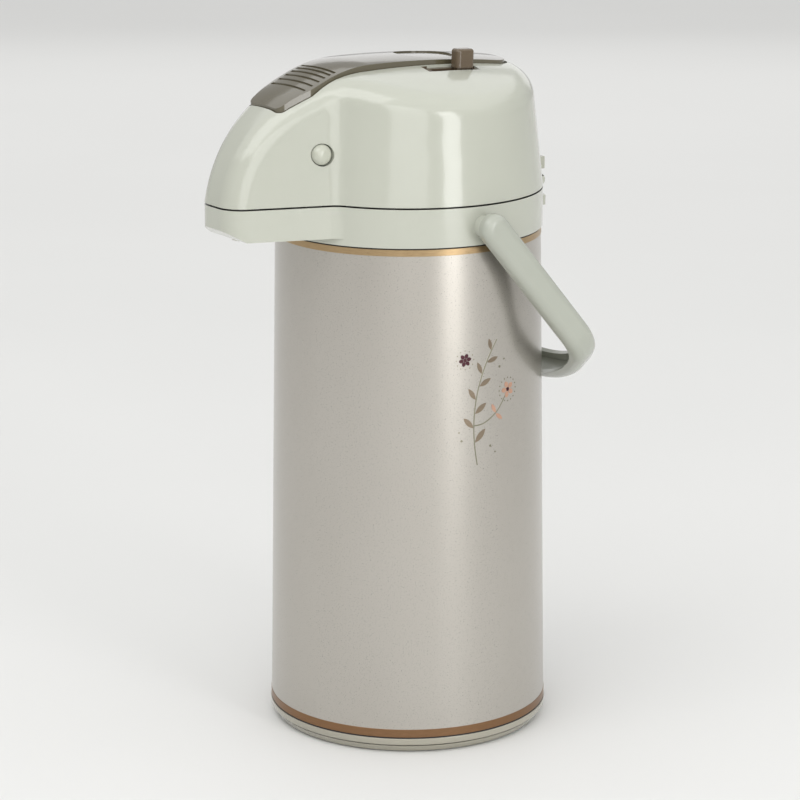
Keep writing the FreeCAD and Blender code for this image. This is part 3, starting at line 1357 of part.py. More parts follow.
for groove_index in range(int(n.groove_count)):
    groove_reach = n.groove_first + groove_index * (n.groove_pitch + n.groove_spread * groove_index)
    plate_marks = plate_marks.fuse(brick(
        (-n.groove_half_length, -groove_reach - n.groove_width / 2, n.button_level),
        (n.groove_half_length, -groove_reach + n.groove_width / 2, above)))
plate_shape = plate_shape.cut(plate_outside.cut(plate_block(n.groove_depth)).common(plate_marks))
push_plate = shaped("push_plate", plate_shape.removeSplitter().Solids[0])

plate_pin = new_body("plate_pin")
plate_pin.Tip = barrel(plate_pin, "plate_pin_bar", s.plate_pin_radius, s.plate_pin_half_length * 2,
                       x=-s.plate_pin_half_length, y=-s.plate_pin_offset, z=s.plate_pin_level,
                       axis=V(0, 1, 0), degrees=90)

# Lock knob: a foot under the roof, a neck through the slot and a rounded knob above it.
lock_slider = new_body("lock_slider")
foot_width = s.slot_width + s.slider_foot_overhang * 2
foot_length = s.knob_length + s.slider_foot_overhang * 2
block(lock_slider, "slider_foot", foot_width / 2 + s.slider_tab_reach, foot_length, s.slider_foot_thickness,
      x=-s.slider_tab_reach, y=foot_length / -2, z=-s.slider_foot_drop - s.slider_foot_thickness)
neck_width = s.slot_width - s.slip_fit * 2
block(lock_slider, "slider_neck", neck_width, s.knob_length - s.knob_round, s.slider_foot_drop + s.knob_lift,
      x=neck_width / -2, y=(s.knob_length - s.knob_round) / -2, z=-s.slider_foot_drop)
knob_sketch = new_sketch(lock_slider, "knob_outline", "XY_Plane")
draw(knob_sketch, [(s.knob_width / -2, s.knob_length / -2, s.knob_round),
                   (s.knob_width / 2, s.knob_length / -2, s.knob_round),
                   (s.knob_width / 2, s.knob_length / 2, s.knob_round),
                   (s.knob_width / -2, s.knob_length / 2, s.knob_round)])
bind(knob_sketch, "AttachmentOffset.Base.z", s.knob_lift)
knob = lock_slider.newObject("PartDesign::Pad", "knob")
knob.Profile = knob_sketch
bind(knob, "Length", s.knob_top_level - s.slot_floor_level - s.knob_lift)
doc.recompute()
highest = max(range(len(knob.Shape.Faces)), key=lambda k: knob.Shape.Faces[k].CenterOfMass.z)
knob_crown = lock_slider.newObject("PartDesign::Fillet", "knob_crown")
knob_crown.Base = (knob, ["Face%d" % (highest + 1)])
bind(knob_crown, "Radius", s.knob_top_round)
lock_slider.Tip = knob_crown
place(lock_slider, x=s.slot_offset, y=s.knob_rest, z=s.slot_floor_level,
      axis=V(1, 0, 0), degrees=-n.slot_slope_degrees)

# Release buttons on both flanks, each with a latch hook and a spring.
for name, side in (("left", -1), ("right", 1)):
    button = turned("release_button_" + name, [
        (0, 0),
        (s.button_radius + s.button_flange_overhang, 0),
        (s.button_radius + s.button_flange_overhang, s.button_flange),
        (s.button_radius, s.button_flange),
        (s.button_radius, s.button_reach, s.button_dome_round),
        (0, s.button_reach),
    ])
    place(button, x=s.button_foot_offset * side, y=-s.button_forward, z=s.button_level,
          axis=V(0, 1, 0), degrees=90 * side)
    hook = new_body("latch_hook_" + name)
    plate_x = s.button_foot_offset * side - s.hook_thickness * (1 if side > 0 else 0)
    hook_y = -s.button_forward - s.hook_width / 2
    block(hook, "hook_plate_" + name, s.hook_thickness, s.hook_width,
          s.button_level + s.button_radius - s.hook_foot_level, x=plate_x, y=hook_y, z=s.hook_foot_level)
    nose_x = s.button_foot_offset * side - s.hook_nose * (0 if side > 0 else 1)
    hook.Tip = block(hook, "hook_nose_" + name, s.hook_nose, s.hook_width, s.hook_nose_height,
                     x=nose_x, y=hook_y, z=s.hook_foot_level)
    room = hook_inner - n.spring_post_offset - n.spring_post_thickness
    spring = shaped("button_spring_" + name, coil(n.button_spring_radius, n.button_spring_wire,
                                                  n.button_spring_turns,
                                                  room - 2 * n.button_spring_wire - 2 * n.slip_fit))
    spring_start = n.spring_post_offset + n.spring_post_thickness + n.button_spring_wire + n.slip_fit
    spring.Placement = FreeCAD.Placement(V(side * spring_start, -n.button_forward, n.button_level),
                                         FreeCAD.Rotation(V(0, 1, 0), 90 * side))

doc.recompute()
for item in doc.Objects:
    if "Invalid" in item.State or "Error" in item.State:
        raise RuntimeError("%s did not build: %s" % (item.Label, item.State))
pieces = [item for item in doc.Objects
          if item.TypeId == "PartDesign::Body" or item.TypeId == "Part::Feature"]
for item in pieces:
    if item.Shape.isNull() or not item.Shape.isValid() or not item.Shape.Solids:
        raise RuntimeError("%s has no valid solid" % item.Label)
os.makedirs("parts", exist_ok=True)
for item in pieces:
    item.Shape.exportStep("parts/%s.step" % item.Label)
    print("%-24s %2d %12.1f" % (item.Label, len(item.Shape.Solids), item.Shape.Volume))
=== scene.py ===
import json
import math

import bmesh
import bpy
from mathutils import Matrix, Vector

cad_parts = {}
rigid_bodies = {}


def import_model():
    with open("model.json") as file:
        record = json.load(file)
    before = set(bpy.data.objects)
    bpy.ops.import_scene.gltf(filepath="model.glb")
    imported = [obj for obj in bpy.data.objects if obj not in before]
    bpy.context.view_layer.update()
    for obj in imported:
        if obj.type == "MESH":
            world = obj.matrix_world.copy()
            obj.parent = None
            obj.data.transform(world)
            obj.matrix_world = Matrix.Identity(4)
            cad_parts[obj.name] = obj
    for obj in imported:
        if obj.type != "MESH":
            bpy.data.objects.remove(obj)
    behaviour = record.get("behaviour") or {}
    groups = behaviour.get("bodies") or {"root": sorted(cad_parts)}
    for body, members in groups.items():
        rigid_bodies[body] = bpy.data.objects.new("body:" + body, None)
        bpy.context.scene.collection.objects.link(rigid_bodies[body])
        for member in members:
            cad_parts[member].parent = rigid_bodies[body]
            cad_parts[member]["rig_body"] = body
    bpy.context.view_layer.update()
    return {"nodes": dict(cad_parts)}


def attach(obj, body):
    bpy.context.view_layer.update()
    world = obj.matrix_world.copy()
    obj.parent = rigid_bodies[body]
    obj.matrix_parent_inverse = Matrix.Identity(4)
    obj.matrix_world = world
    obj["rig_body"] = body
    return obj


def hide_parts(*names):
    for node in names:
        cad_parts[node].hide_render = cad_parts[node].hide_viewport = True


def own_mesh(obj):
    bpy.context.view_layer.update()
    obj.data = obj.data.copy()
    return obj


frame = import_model()
nodes = frame["nodes"]

# Swivel foot: a thin disc of warm grey plastic on four rubber pads. The flask
# turns on it about one steel screw, and only its rim shows under the base ring.


class Value:
    """An output socket that can stand in an expression, which adds Math nodes."""

    def __init__(self, graph, socket):
        self.graph = graph
        self.socket = socket

    def reckon(self, operation, *terms):
        return self.graph.add("ShaderNodeMath", {"operation": operation}, dict(enumerate(terms)))

    def __add__(self, other):
        return self.reckon("ADD", self, other)

    __radd__ = __add__

    def __sub__(self, other):
        return self.reckon("SUBTRACT", self, other)

    def __rsub__(self, other):
        return self.reckon("SUBTRACT", other, self)

    def __mul__(self, other):
        return self.reckon("MULTIPLY", self, other)

    __rmul__ = __mul__

    def __truediv__(self, other):
        return self.reckon("DIVIDE", self, other)


class Graph:
    """A node tree that is written from the top down, one call for each node."""

    def __init__(self, tree):
        self.tree = tree

    def add(self, kind, settings=None, values=None, out=0):
        node = self.tree.nodes.new(kind)
        for key, setting in (settings or {}).items():
            if key == "stops":
                ramp = node.color_ramp
                while len(ramp.elements) < len(setting):
                    ramp.elements.new(0.5)
                for element, (position, colour) in zip(ramp.elements, setting):
                    element.position = position
                    element.color = colour
            else:
                setattr(node, key, setting)
        for key, value in (values or {}).items():
            self.feed(node.inputs[key], value)
        return Value(self, node.outputs[out])

    def feed(self, socket, value):
        if isinstance(value, Value):
            self.tree.links.new(value.socket, socket)
        else:
            socket.default_value = value


class Finish(Graph):
    """A material: the shader and what feeds it."""

    def __init__(self, name, sockets):
        self.material = bpy.data.materials.new(name)
        self.material.use_nodes = True
        super().__init__(self.material.node_tree)
        self.shader = self.tree.nodes["Principled BSDF"]
        self.place = self.add("ShaderNodeTexCoord", out="Object")
        self.set(sockets)

    def set(self, sockets):
        for name, value in sockets.items():
            self.feed(self.shader.inputs[name], value)

    def noise(self, size, detail=2.0, stretch=(1.0, 1.0, 1.0)):
        """Soft noise whose patches are about the given size, in metres."""
        place = self.add("ShaderNodeMapping", values={"Vector": self.place, "Scale": stretch})
        return self.add("ShaderNodeTexNoise", values={
            "Vector": place, "Scale": 1 / size, "Detail": detail})

    def mix(self, share, first, second):
        return self.add("ShaderNodeMix", {"data_type": "RGBA"}, {0: share, 6: first, 7: second}, 2)

    def relief(self, height, depth):
        """Raises the skin by up to depth, in metres, where height is 1."""
        self.set({"Normal": self.add("ShaderNodeBump", values={"Height": height, "Distance": depth})})


def screen(red, green, blue, share=1.0):
    """A colour from the screen's 0 to 255 scale, made lighter or darker by a share."""
    tones = [tone / 255 for tone in (red, green, blue)]
    light = [tone / 12.92 if tone <= 0.04045 else ((tone + 0.055) / 1.055) ** 2.4 for tone in tones]
    return (*[min(1.0, tone * share) for tone in light], 1.0)


def moulded(name, colour, roughness, coat=0.0, grain=0.000004):
    """Moulded plastic: faint flow marks in the colour, and a skin that isn't quite flat."""
    flow_size, grain_size, spread = 0.05, 0.0007, 0.04
    finish = Finish(name, {"Coat Weight": coat, "Coat Roughness": 0.06, "IOR": 1.5})
    flow = finish.noise(flow_size, 3.0, (1.0, 1.0, 0.5))
    fine = finish.noise(grain_size)
    finish.set({
        "Base Color": finish.mix(flow, screen(*colour, 1 - spread), screen(*colour, 1 + spread)),
        "Roughness": roughness + (fine - 0.5) * 0.10 + (flow - 0.5) * 0.08,
    })
    finish.relief(fine + flow * 6.0, grain)
    return finish


def smoothed(skin, sharp):
    """Smooth shading, broken only at edges that turn by more than sharp, in degrees."""
    for face in skin.faces:
        face.smooth = True
    for edge in skin.edges:
        edge.smooth = len(edge.link_faces) == 2 and edge.calc_face_angle() < math.radians(sharp)


def skin_of(name, node, slot, finish, sharp=32.0):
    """A CAD node's loose triangles joined into one smooth skin that stands for the node."""
    same_point = 1e-6
    skin = bmesh.new()
    skin.from_mesh(nodes[node].data)
    bmesh.ops.remove_doubles(skin, verts=skin.verts, dist=same_point)
    smoothed(skin, sharp)
    mesh = bpy.data.meshes.new(name)
    skin.to_mesh(mesh)
    skin.free()
    mesh.materials.clear()
    mesh.materials.append(finish.material)
    draft = bpy.data.objects.new(name, mesh)
    bpy.context.scene.collection.objects.link(draft)
    even = draft.modifiers.new("Even shading", "WEIGHTED_NORMAL")
    even.keep_sharp = True
    even.weight = 80
    fitted(settled(draft, name), nodes[node]["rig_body"], slot, node)


def settled(draft, name):
    """The draft's evaluated mesh as a plain object, without its modifiers."""
    bpy.context.view_layer.update()
    finished = draft.evaluated_get(bpy.context.evaluated_depsgraph_get())
    shape = bpy.data.meshes.new_from_object(finished)
    old = draft.data
    bpy.data.objects.remove(draft)
    bpy.data.meshes.remove(old)
    shape.name = name
    piece = bpy.data.objects.new(name, shape)
    bpy.context.scene.collection.objects.link(piece)
    return piece


def fitted(piece, body, slot, *stands_for):
    """The piece on its body, with the CAD nodes that it stands for hidden; its slot is not used."""
    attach(piece, body)
    if stands_for:
        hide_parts(*stands_for)
    return piece


MM = 0.001


class Making(Graph):
    """A Geometry Nodes tree with named inputs, whose result becomes a plain mesh."""

    def __init__(self, name):
        super().__init__(bpy.data.node_groups.new(name, "GeometryNodeTree"))
        self.tree.interface.new_socket("Geometry", in_out="OUTPUT", socket_type="NodeSocketGeometry")
        self.tree.interface.new_socket("Geometry", in_out="INPUT", socket_type="NodeSocketGeometry")
        self.inlet = self.tree.nodes.new("NodeGroupInput")
        self.start = Value(self, self.inlet.outputs["Geometry"])
        self.names = {}
        self.finish = self.size("Finish", "Material")

    def size(self, name, kind="Float"):
        """A named input of the tree."""
        item = self.tree.interface.new_socket(name, in_out="INPUT", socket_type="NodeSocket" + kind)
        self.names[name] = item.identifier
        return Value(self, self.inlet.outputs[name])

    def end(self, shape):
        """Closes the tree: the instances made real, and the material set."""
        real = self.add("GeometryNodeRealizeInstances", values={"Geometry": shape})
        dressed = self.add("GeometryNodeSetMaterial", values={"Geometry": real, "Material": self.finish})
        self.tree.links.new(dressed.socket, self.tree.nodes.new("NodeGroupOutput").inputs["Geometry"])

    def make(self, name, mesh, finish, sizes, sharp=32.0):
        """Runs the tree on a mesh, and gives the result as a plain object."""
        draft = bpy.data.objects.new(name, mesh)
        bpy.context.scene.collection.objects.link(draft)
        making = draft.modifiers.new("Making", "NODES")
        making.node_group = self.tree
        making[self.names["Finish"]] = finish.material
        for key, value in sizes.items():
            making[self.names[key]] = value
        piece = settled(draft, name)
        skin = bmesh.new()
        skin.from_mesh(piece.data)
        smoothed(skin, sharp)
        skin.to_mesh(piece.data)
        skin.free()
        return piece


def line_mesh(name, points, closed=True):
    """A mesh of one line through points given in millimetres."""
    mesh = bpy.data.meshes.new(name)
    edges = [(k, k + 1) for k in range(len(points) - 1)]
    if closed:
        edges.append((len(points) - 1, 0))
    mesh.from_pydata([Vector(p) * MM for p in points], edges, [])
    return mesh


screwing = Making("Screwing")
head_radius = screwing.size("Head radius")
head_height = screwing.size("Head height")
shank_radius = screwing.size("Shank radius")
shank_length = screwing.size("Shank length")
recess = screwing.size("Recess")
rim_fall, bar_width, bar_depth = 0.45, 0.28, 1.2
blank = screwing.add("GeometryNodeMeshCylinder", {"fill_type": "TRIANGLE_FAN"}, {
    "Vertices": 32, "Side Segments": 8, "Radius": 1.0, "Depth": 1.0})
spot = screwing.add("GeometryNodeInputPosition")
spot_x, spot_y, spot_z = [
    screwing.add("ShaderNodeSeparateXYZ", values={0: spot}, out=k) for k in range(3)]
drop = 0.5 - spot_z
crown = screwing.add("ShaderNodeMath", {"operation": "SQRT"}, {0: 1.0 - drop * drop * drop * rim_fall})
pan = screwing.add("GeometryNodeSetPosition", values={
    "Geometry": blank,
    "Position": screwing.add("ShaderNodeCombineXYZ", values={
        0: spot_x * crown * head_radius,
        1: spot_y * crown * head_radius,
        2: drop * head_height * -1.0,
    }),
})
cutter_size = screwing.add("ShaderNodeCombineXYZ", values={
    0: recess, 1: recess * bar_width, 2: head_height * bar_depth})
cutter = screwing.add("GeometryNodeMeshCube", values={"Size": cutter_size})
crossed = screwing.add("GeometryNodeTransform", values={
    "Geometry": cutter, "Rotation": (0.0, 0.0, math.pi / 2)})
bars = screwing.add("GeometryNodeMeshBoolean", {"operation": "UNION"}, {"Mesh 2": cutter})
screwing.feed(bars.socket.node.inputs["Mesh 2"], crossed)
cross = screwing.add("GeometryNodeTransform", values={
    "Geometry": bars,
    "Translation": screwing.add("ShaderNodeCombineXYZ", values={2: head_height * -1.0}),
})
cut_pan = screwing.add("GeometryNodeMeshBoolean", {"operation": "DIFFERENCE"}, {
    "Mesh 1": pan, "Mesh 2": cross})
shank = screwing.add("GeometryNodeTransform", values={
    "Geometry": screwing.add("GeometryNodeMeshCylinder", {"fill_type": "TRIANGLE_FAN"}, {
        "Vertices": 24, "Radius": shank_radius, "Depth": shank_length}),
    "Translation": screwing.add("ShaderNodeCombineXYZ", values={2: shank_length * 0.5}),
})
screw = screwing.add("GeometryNodeJoinGeometry", values={"Geometry": shank})
screwing.feed(screw.socket.node.inputs["Geometry"], cut_pan)
screwing.end(screwing.add("GeometryNodeInstanceOnPoints", values={
    "Points": screwing.start, "Instance": screw}))


def screws(name, node, body, spots, head, shank, recess):
    """Crosshead screws driven upwards from their spots: head and shank as (radius, length)."""
    piece = screwing.make(name, line_mesh(name, spots, closed=False), steel, {
        "Head radius": head[0] * MM, "Head height": head[1] * MM,
        "Shank radius": shank[0] * MM, "Shank length": shank[1] * MM, "Recess": recess * MM,
    })
    fitted(piece, body, "steel", node)


def round_places(circle, level, degrees):
    """Places on a circle about the flask's axis, at the given angles from +X."""
    turns = [math.radians(degree) for degree in degrees]
    return [(circle * math.cos(turn), circle * math.sin(turn), level) for turn in turns]


foot_plastic = moulded("Foot plastic", (158, 154, 140), 0.14, coat=0.8)
rubber = moulded("Rubber", (58, 56, 54), 0.62, grain=0.00003)
steel = Finish("Steel", {"Metallic": 1.0})
drawn = steel.noise(0.0012, 3.0, (1.0, 1.0, 0.15))
steel.set({
    "Base Color": steel.mix(drawn, screen(176, 176, 174), screen(206, 205, 202)),
    "Roughness": 0.22 + drawn * 0.16,
})
steel.relief(drawn, 0.000004)

skin_of("Foot_disc", "swivel_base", "foot_plastic", foot_plastic)
skin_of("Foot_pads", "foot_pads", "rubber", rubber)
foot_screw_seat = (0.0, 0.0, 2.2)
screws("Foot_screw", "foot_screw", nodes["foot_screw"]["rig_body"], [foot_screw_seat],
       head=(9.0, 1.2), shank=(2.0, 7.3), recess=5.0)

# Bottom of the body: the glossy ring that carries the sleeve, and the plate that
# closes it from below with four screws.

skin_of("Base_ring", "base_ring", "foot_plastic", foot_plastic)
skin_of("Bottom_plate", "bottom_plate", "foot_plastic", foot_plastic)
base_screw_circle, base_screw_level = 63.0, 7.0
screws("Base_screws", "base_screws", "flask",
       round_places(base_screw_circle, base_screw_level, (0, 90, 180, 270)),
       head=(2.8, 1.6), shank=(1.4, 4.0), recess=2.6)

# Glass liner: two walls of blown glass, silvered between them, on a rubber
# cushion. A rubber packing seals its neck under the mouth ring.

glass = Finish("Silvered glass", {"Coat Weight": 1.0, "Coat Roughness": 0.02, "Metallic": 1.0})
ripple = glass.noise(0.03)
glass.set({
    "Base Color": glass.mix(ripple, screen(202, 206, 210), screen(228, 230, 232)),
    "Roughness": 0.05 + ripple * 0.06,
})
glass.relief(ripple, 0.00006)

skin_of("Glass_liner", "glass_liner", "glass", glass)
skin_of("Liner_cushion", "liner_cushion", "rubber", rubber)
skin_of("Neck_packing", "neck_packing", "rubber", rubber)

# Sleeve: tinplate rolled to a slight taper and lacquered in a pearly champagne,
# with a gold line at its top edge and a copper line at its foot, each with a thin
# black ring of painted shadow on its outer side, for the shade in the gaps under
# the collar and above the base ring.

sleeve_foot, sleeve_top = (81.6, 9.0), (76.8, 299.1)
sleeve_wall, sleeve_sides, sleeve_steps = 0.7, 240, 12


def sleeve_radius(level):
    """The sleeve's outer radius at a level, in millimetres."""
    share = (level - sleeve_foot[1]) / (sleeve_top[1] - sleeve_foot[1])
    return sleeve_foot[0] + (sleeve_top[0] - sleeve_foot[0]) * share


turning = Making("Turning")
steps = turning.size("Steps", "Int")
count = turning.add("GeometryNodeAttributeDomainSize", values={
    "Geometry": turning.start}, out="Point Count")
rows = count + 1
nudge, same_place = 0.0001, 1e-7
sheet = turning.add("GeometryNodeMeshGrid", values={"Vertices X": steps + 1, "Vertices Y": rows})
index = turning.add("GeometryNodeInputIndex")
column = turning.add("ShaderNodeMath", {"operation": "FLOOR"}, {0: index / rows + nudge})
row = index - column * rows
past_end = turning.add("ShaderNodeMath", {"operation": "GREATER_THAN"}, {0: row, 1: count - 0.5})
source = turning.add("GeometryNodeSampleIndex", {"data_type": "FLOAT_VECTOR"}, {
    "Geometry": turning.start,
    "Value": turning.add("GeometryNodeInputPosition"),
    "Index": row - past_end * count,
})
outline_radius = turning.add("ShaderNodeSeparateXYZ", values={0: source}, out=0)
outline_level = turning.add("ShaderNodeSeparateXYZ", values={0: source}, out=2)
angle = column / steps * math.tau
turned_place = turning.add("ShaderNodeCombineXYZ", values={
    0: outline_radius * turning.add("ShaderNodeMath", {"operation": "COSINE"}, {0: angle}),
    1: outline_radius * turning.add("ShaderNodeMath", {"operation": "SINE"}, {0: angle}),
    2: outline_level,
})
wound = turning.add("GeometryNodeSetPosition", values={"Geometry": sheet, "Position": turned_place})
turning.end(turning.add("GeometryNodeMergeByDistance", values={
    "Geometry": wound, "Distance": same_place}))


def turned(name, outline, finish, steps=192, sharp=32.0):
    """A ring turned about the flask's axis from a closed outline of (radius, level)."""
    line = line_mesh(name, [(radius, 0.0, level) for radius, level in outline])
    piece = turning.make(name, line, finish, {"Steps": steps}, sharp)
    skin = bmesh.new()
    skin.from_mesh(piece.data)
    bmesh.ops.recalc_face_normals(skin, faces=skin.faces)
    skin.to_mesh(piece.data)
    skin.free()
    return piece


lacquer = Finish("Pearl lacquer", {"Coat Weight": 0.35, "Coat Roughness": 0.12, "Metallic": 0.72})
flake = lacquer.noise(0.00045)
cloud = lacquer.noise(0.06, 2.0, (1.0, 1.0, 0.3))
lacquer.set({
    "Base Color": lacquer.mix(cloud * 0.7 + flake * 0.3, screen(171, 166, 158), screen(188, 184, 177)),
    "Roughness": 0.30 + (flake - 0.5) * 0.16,
})
lacquer.relief(flake, 0.000006)

sleeve_rise = (sleeve_top[1] - sleeve_foot[1]) / sleeve_steps
outside = []
for step in range(sleeve_steps + 1):
    level = sleeve_foot[1] + step * sleeve_rise
    outside.append((sleeve_radius(level), level))
inside = [(radius - sleeve_wall, level) for radius, level in reversed(outside)]
fitted(turned("Sleeve", outside + inside, lacquer, sleeve_sides), "flask", "sleeve", "body_sleeve")


def trim_ring(name, low, high, stand, finish):
    """A thin line round the sleeve that stands proud of it, with rounded edges."""
    sunk, edge = 0.1, stand * 0.6
    foot, top = sleeve_radius(low), sleeve_radius(high)
    rim = [(foot - sunk, low), (foot + stand - edge, low), (foot + stand, low + edge),
           (top + stand, high - edge), (top + stand - edge, high), (top - sunk, high)]
    fitted(turned(name, rim, finish, sleeve_sides), "flask", "sleeve")


def foil(name, dark, light, roughness):
    """Hot-stamped metal foil, with the fine lines of its rolling."""
    finish = Finish(name, {"Metallic": 0.85})
    lines = finish.noise(0.004, 3.0, (1.0, 1.0, 14.0))
    finish.set({
        "Base Color": finish.mix(lines, screen(*dark), screen(*light)),
        "Roughness": roughness + lines * 0.12,
    })
    finish.relief(lines, 0.000008)
    return finish


gold = foil("Gold foil", (150, 126, 92), (190, 164, 126), 0.24)
copper = foil("Copper foil", (120, 90, 64), (148, 114, 84), 0.26)
# Painted shadow: a near-black finish for rings that stand for the shade in the gaps at the sleeve's
# ends.
painted_shadow_black = moulded("Shade black", (30, 24, 20), 0.6)
trim_ring("Gold_line", low=290.9, high=294.6, stand=0.18, finish=gold)
# Painted shadow for the shade in the gap under the collar.
trim_ring("Gold_line_painted_shadow", low=294.6, high=295.5, stand=0.14, finish=painted_shadow_black)
trim_ring("Copper_line", low=9.9, high=14.6, stand=0.18, finish=copper)
# Painted shadow for the shade in the gap above the base ring.
trim_ring("Copper_line_painted_shadow", low=9.1, high=9.9, stand=0.14, finish=painted_shadow_black)

# Sleeve ornament: a bowed twig with leaves to both sides, two blossoms and dots,
# stamped in foil that stands a tenth of a millimetre off the sleeve's curve.

ornament_side, ornament_level = 92.0, 206.0
sleeve_taper = (sleeve_top[0] - sleeve_foot[0]) / (sleeve_top[1] - sleeve_foot[1])


def wrapped(tree, flat, flatness):
    """Bends a flat drawing round the sleeve: X runs round it, Y up it, and Z stands off it."""
    place = tree.add("GeometryNodeInputPosition")
    along, height, lift = [
        tree.add("ShaderNodeSeparateXYZ", values={0: place}, out=k) for k in range(3)]
    level = height + ornament_level * MM
    skin = (level - sleeve_foot[1] * MM) * sleeve_taper + sleeve_foot[0] * MM
    turn = along / skin + math.radians(ornament_side - 90.0)
    reach = skin + lift * flatness
    bent = tree.add("ShaderNodeCombineXYZ", values={
        0: reach * tree.add("ShaderNodeMath", {"operation": "COSINE"}, {0: turn}),
        1: reach * tree.add("ShaderNodeMath", {"operation": "SINE"}, {0: turn}),
        2: level,
    })
    return tree.add("GeometryNodeSetPosition", values={"Geometry": flat, "Position": bent})


def mark(tree, name):
    """What a point of the drawing says of the shape stamped on it."""
    return tree.add("GeometryNodeInputNamedAttribute", {"data_type": "FLOAT"}, {"Name": name})


stamping = Making("Stamping")
point = stamping.size("Pointed ends")
thickness = stamping.size("Thickness")
disc = stamping.add("GeometryNodeMeshCylinder", {"fill_type": "TRIANGLE_FAN"}, {
    "Vertices": 32, "Radius": 1.0, "Depth": 1.0})
disc_place = stamping.add("GeometryNodeInputPosition")
disc_x, disc_y, disc_z = [
    stamping.add("ShaderNodeSeparateXYZ", values={0: disc_place}, out=k) for k in range(3)]
waist = 1.0 - point + point * stamping.add("ShaderNodeMath", {"operation": "ABSOLUTE"}, {0: disc_y})
shaped = stamping.add("GeometryNodeSetPosition", values={
    "Geometry": disc,
    "Position": stamping.add("ShaderNodeCombineXYZ", values={0: disc_x, 1: disc_y * waist, 2: disc_z}),
})
stamps = stamping.add("GeometryNodeInstanceOnPoints", values={
    "Points": stamping.start,
    "Instance": shaped,
    "Rotation": stamping.add("FunctionNodeEulerToRotation", values={
        0: stamping.add("ShaderNodeCombineXYZ", values={2: mark(stamping, "turn")})}),
    "Scale": stamping.add("ShaderNodeCombineXYZ", values={
        0: mark(stamping, "length") * 0.5, 1: mark(stamping, "width") * 0.5, 2: thickness}),
})
all_stamps = stamping.add("GeometryNodeRealizeInstances", values={"Geometry": stamps})
stamping.end(wrapped(stamping, all_stamps, flatness=1.0))

trailing = Making("Trailing")
stem_width = trailing.size("Stem width")
stem_line = trailing.add("GeometryNodeCurveSplineType", {"spline_type": "CATMULL_ROM"}, {
    "Curve": trailing.add("GeometryNodeMeshToCurve", values={0: trailing.start})})
stem_profile = trailing.add("GeometryNodeCurvePrimitiveCircle", values={
    "Resolution": 8, "Radius": stem_width * 0.5})
stems = trailing.add("GeometryNodeCurveToMesh", values={
    "Curve": stem_line, "Profile Curve": stem_profile, "Fill Caps": True})
trailing.end(wrapped(trailing, stems, flatness=0.36))


def stamped(name, marks, finish, pointed=0.0, thickness=0.24):
    """Foil shapes on the sleeve: each mark is (across, up, length, width, turn in degrees)."""
    points = line_mesh(name, [(x, y, 0.0) for x, y, *_ in marks], closed=False)
    degree = math.radians(1.0)
    for key, column, scale in (("length", 2, MM), ("width", 3, MM), ("turn", 4, degree)):
        layer = points.attributes.new(key, "FLOAT", "POINT")
        for number, mark_sizes in enumerate(marks):
            layer.data[number].value = mark_sizes[column] * scale
    piece = stamping.make(name, points, finish, {
        "Pointed ends": pointed, "Thickness": thickness * MM}, sharp=60.0)
    fitted(piece, "flask", "sleeve")


def trailed(name, lines, width, finish):
    """Foil lines on the sleeve, each through a few points of the drawing."""
    drawing = bpy.data.meshes.new(name)
    places, edges = [], []
    for line in lines:
        first = len(places)
        places += [Vector((x, y, 0.0)) * MM for x, y in line]
        edges += [(first + k, first + k + 1) for k in range(len(line) - 1)]
    drawing.from_pydata(places, edges, [])
    piece = trailing.make(name, drawing, finish, {"Stem width": width * MM}, sharp=60.0)
    fitted(piece, "flask", "sleeve")


def bow(share, start=(-7.0, -37.0), bend=(-15.0, 4.0), tip=(7.0, 34.0)):
    """A point of the twig, and the way that the twig runs there, in degrees."""
    place = [(1 - share) ** 2 * a + 2 * share * (1 - share) * b + share ** 2 * c
             for a, b, c in zip(start, bend, tip)]
    way = [(1 - share) * (b - a) + share * (c - b) for a, b, c in zip(start, bend, tip)]
    return place, math.degrees(math.atan2(way[1], way[0]))


def leafed(shares, side, length, width, lean):
    """Leaves on one side of the twig, leaning outwards, that get smaller towards its tip."""
    leaves = []
    stalk, shrinkage = 0.6, 0.3
    for share in shares:
        root, way = bow(share)
        turn = math.radians(way + side * lean)
        growth = 1.0 - shrinkage * share
        reach = length * growth * 0.5 + stalk
        leaves.append((root[0] + reach * math.cos(turn), root[1] + reach * math.sin(turn),
                       length * growth, width * growth, math.degrees(turn)))
    return leaves


def blossom(x, y, reach, count, turn):
    """Petals in a ring of the given reach round a point, the first at turn degrees."""
    petals = []
    long, wide = 1.25, 0.95
    for k in range(count):
        way = turn + 360.0 * k / count
        petals.append((x + reach * math.cos(math.radians(way)), y + reach * math.sin(math.radians(way)),
                       reach * long, reach * wide, way))
    return petals


def beads(x, y, reach, count, size):
    """Round dots in a ring of the given reach round a point."""
    turns = [math.tau * k / count for k in range(count)]
    return [(x + reach * math.cos(turn), y + reach * math.sin(turn), size, size, 0.0) for turn in turns]


leaf_foil = foil("Grey brown foil", (122, 108, 92), (150, 136, 118), 0.34)
stem_foil = foil("Green grey foil", (118, 116, 98), (146, 144, 124), 0.34)
plum_foil = foil("Plum foil", (58, 34, 40), (92, 58, 64), 0.30)
rose_foil = foil("Rose copper foil", (190, 146, 124), (216, 176, 154), 0.30)
rose_place, plum_place = (15.5, 3.8), (-14.5, 24.5)
twig = [bow(k / 10)[0] for k in range(11)]
sprig = [(-9.6, -14.0), (-2.0, -13.0), (7.0, -7.5), (13.5, 0.5)]
outer_leaves = leafed((0.16, 0.38, 0.60, 0.80), -1, length=10.5, width=3.6, lean=48.0)
inner_leaves = leafed((0.27, 0.49, 0.70, 0.90), 1, length=9.5, width=3.3, lean=44.0)
buds = [(4.5, -5.6, 6.0, 2.4, 118.0), (8.5, -10.8, 6.0, 2.4, -38.0)]
hearts = [(*rose_place, 2.3, 2.3, 0.0), (*plum_place, 2.0, 2.0, 0.0)]
rings = (beads(*rose_place, reach=6.8, count=16, size=0.8)
         + beads(*plum_place, reach=5.4, count=12, size=0.7))
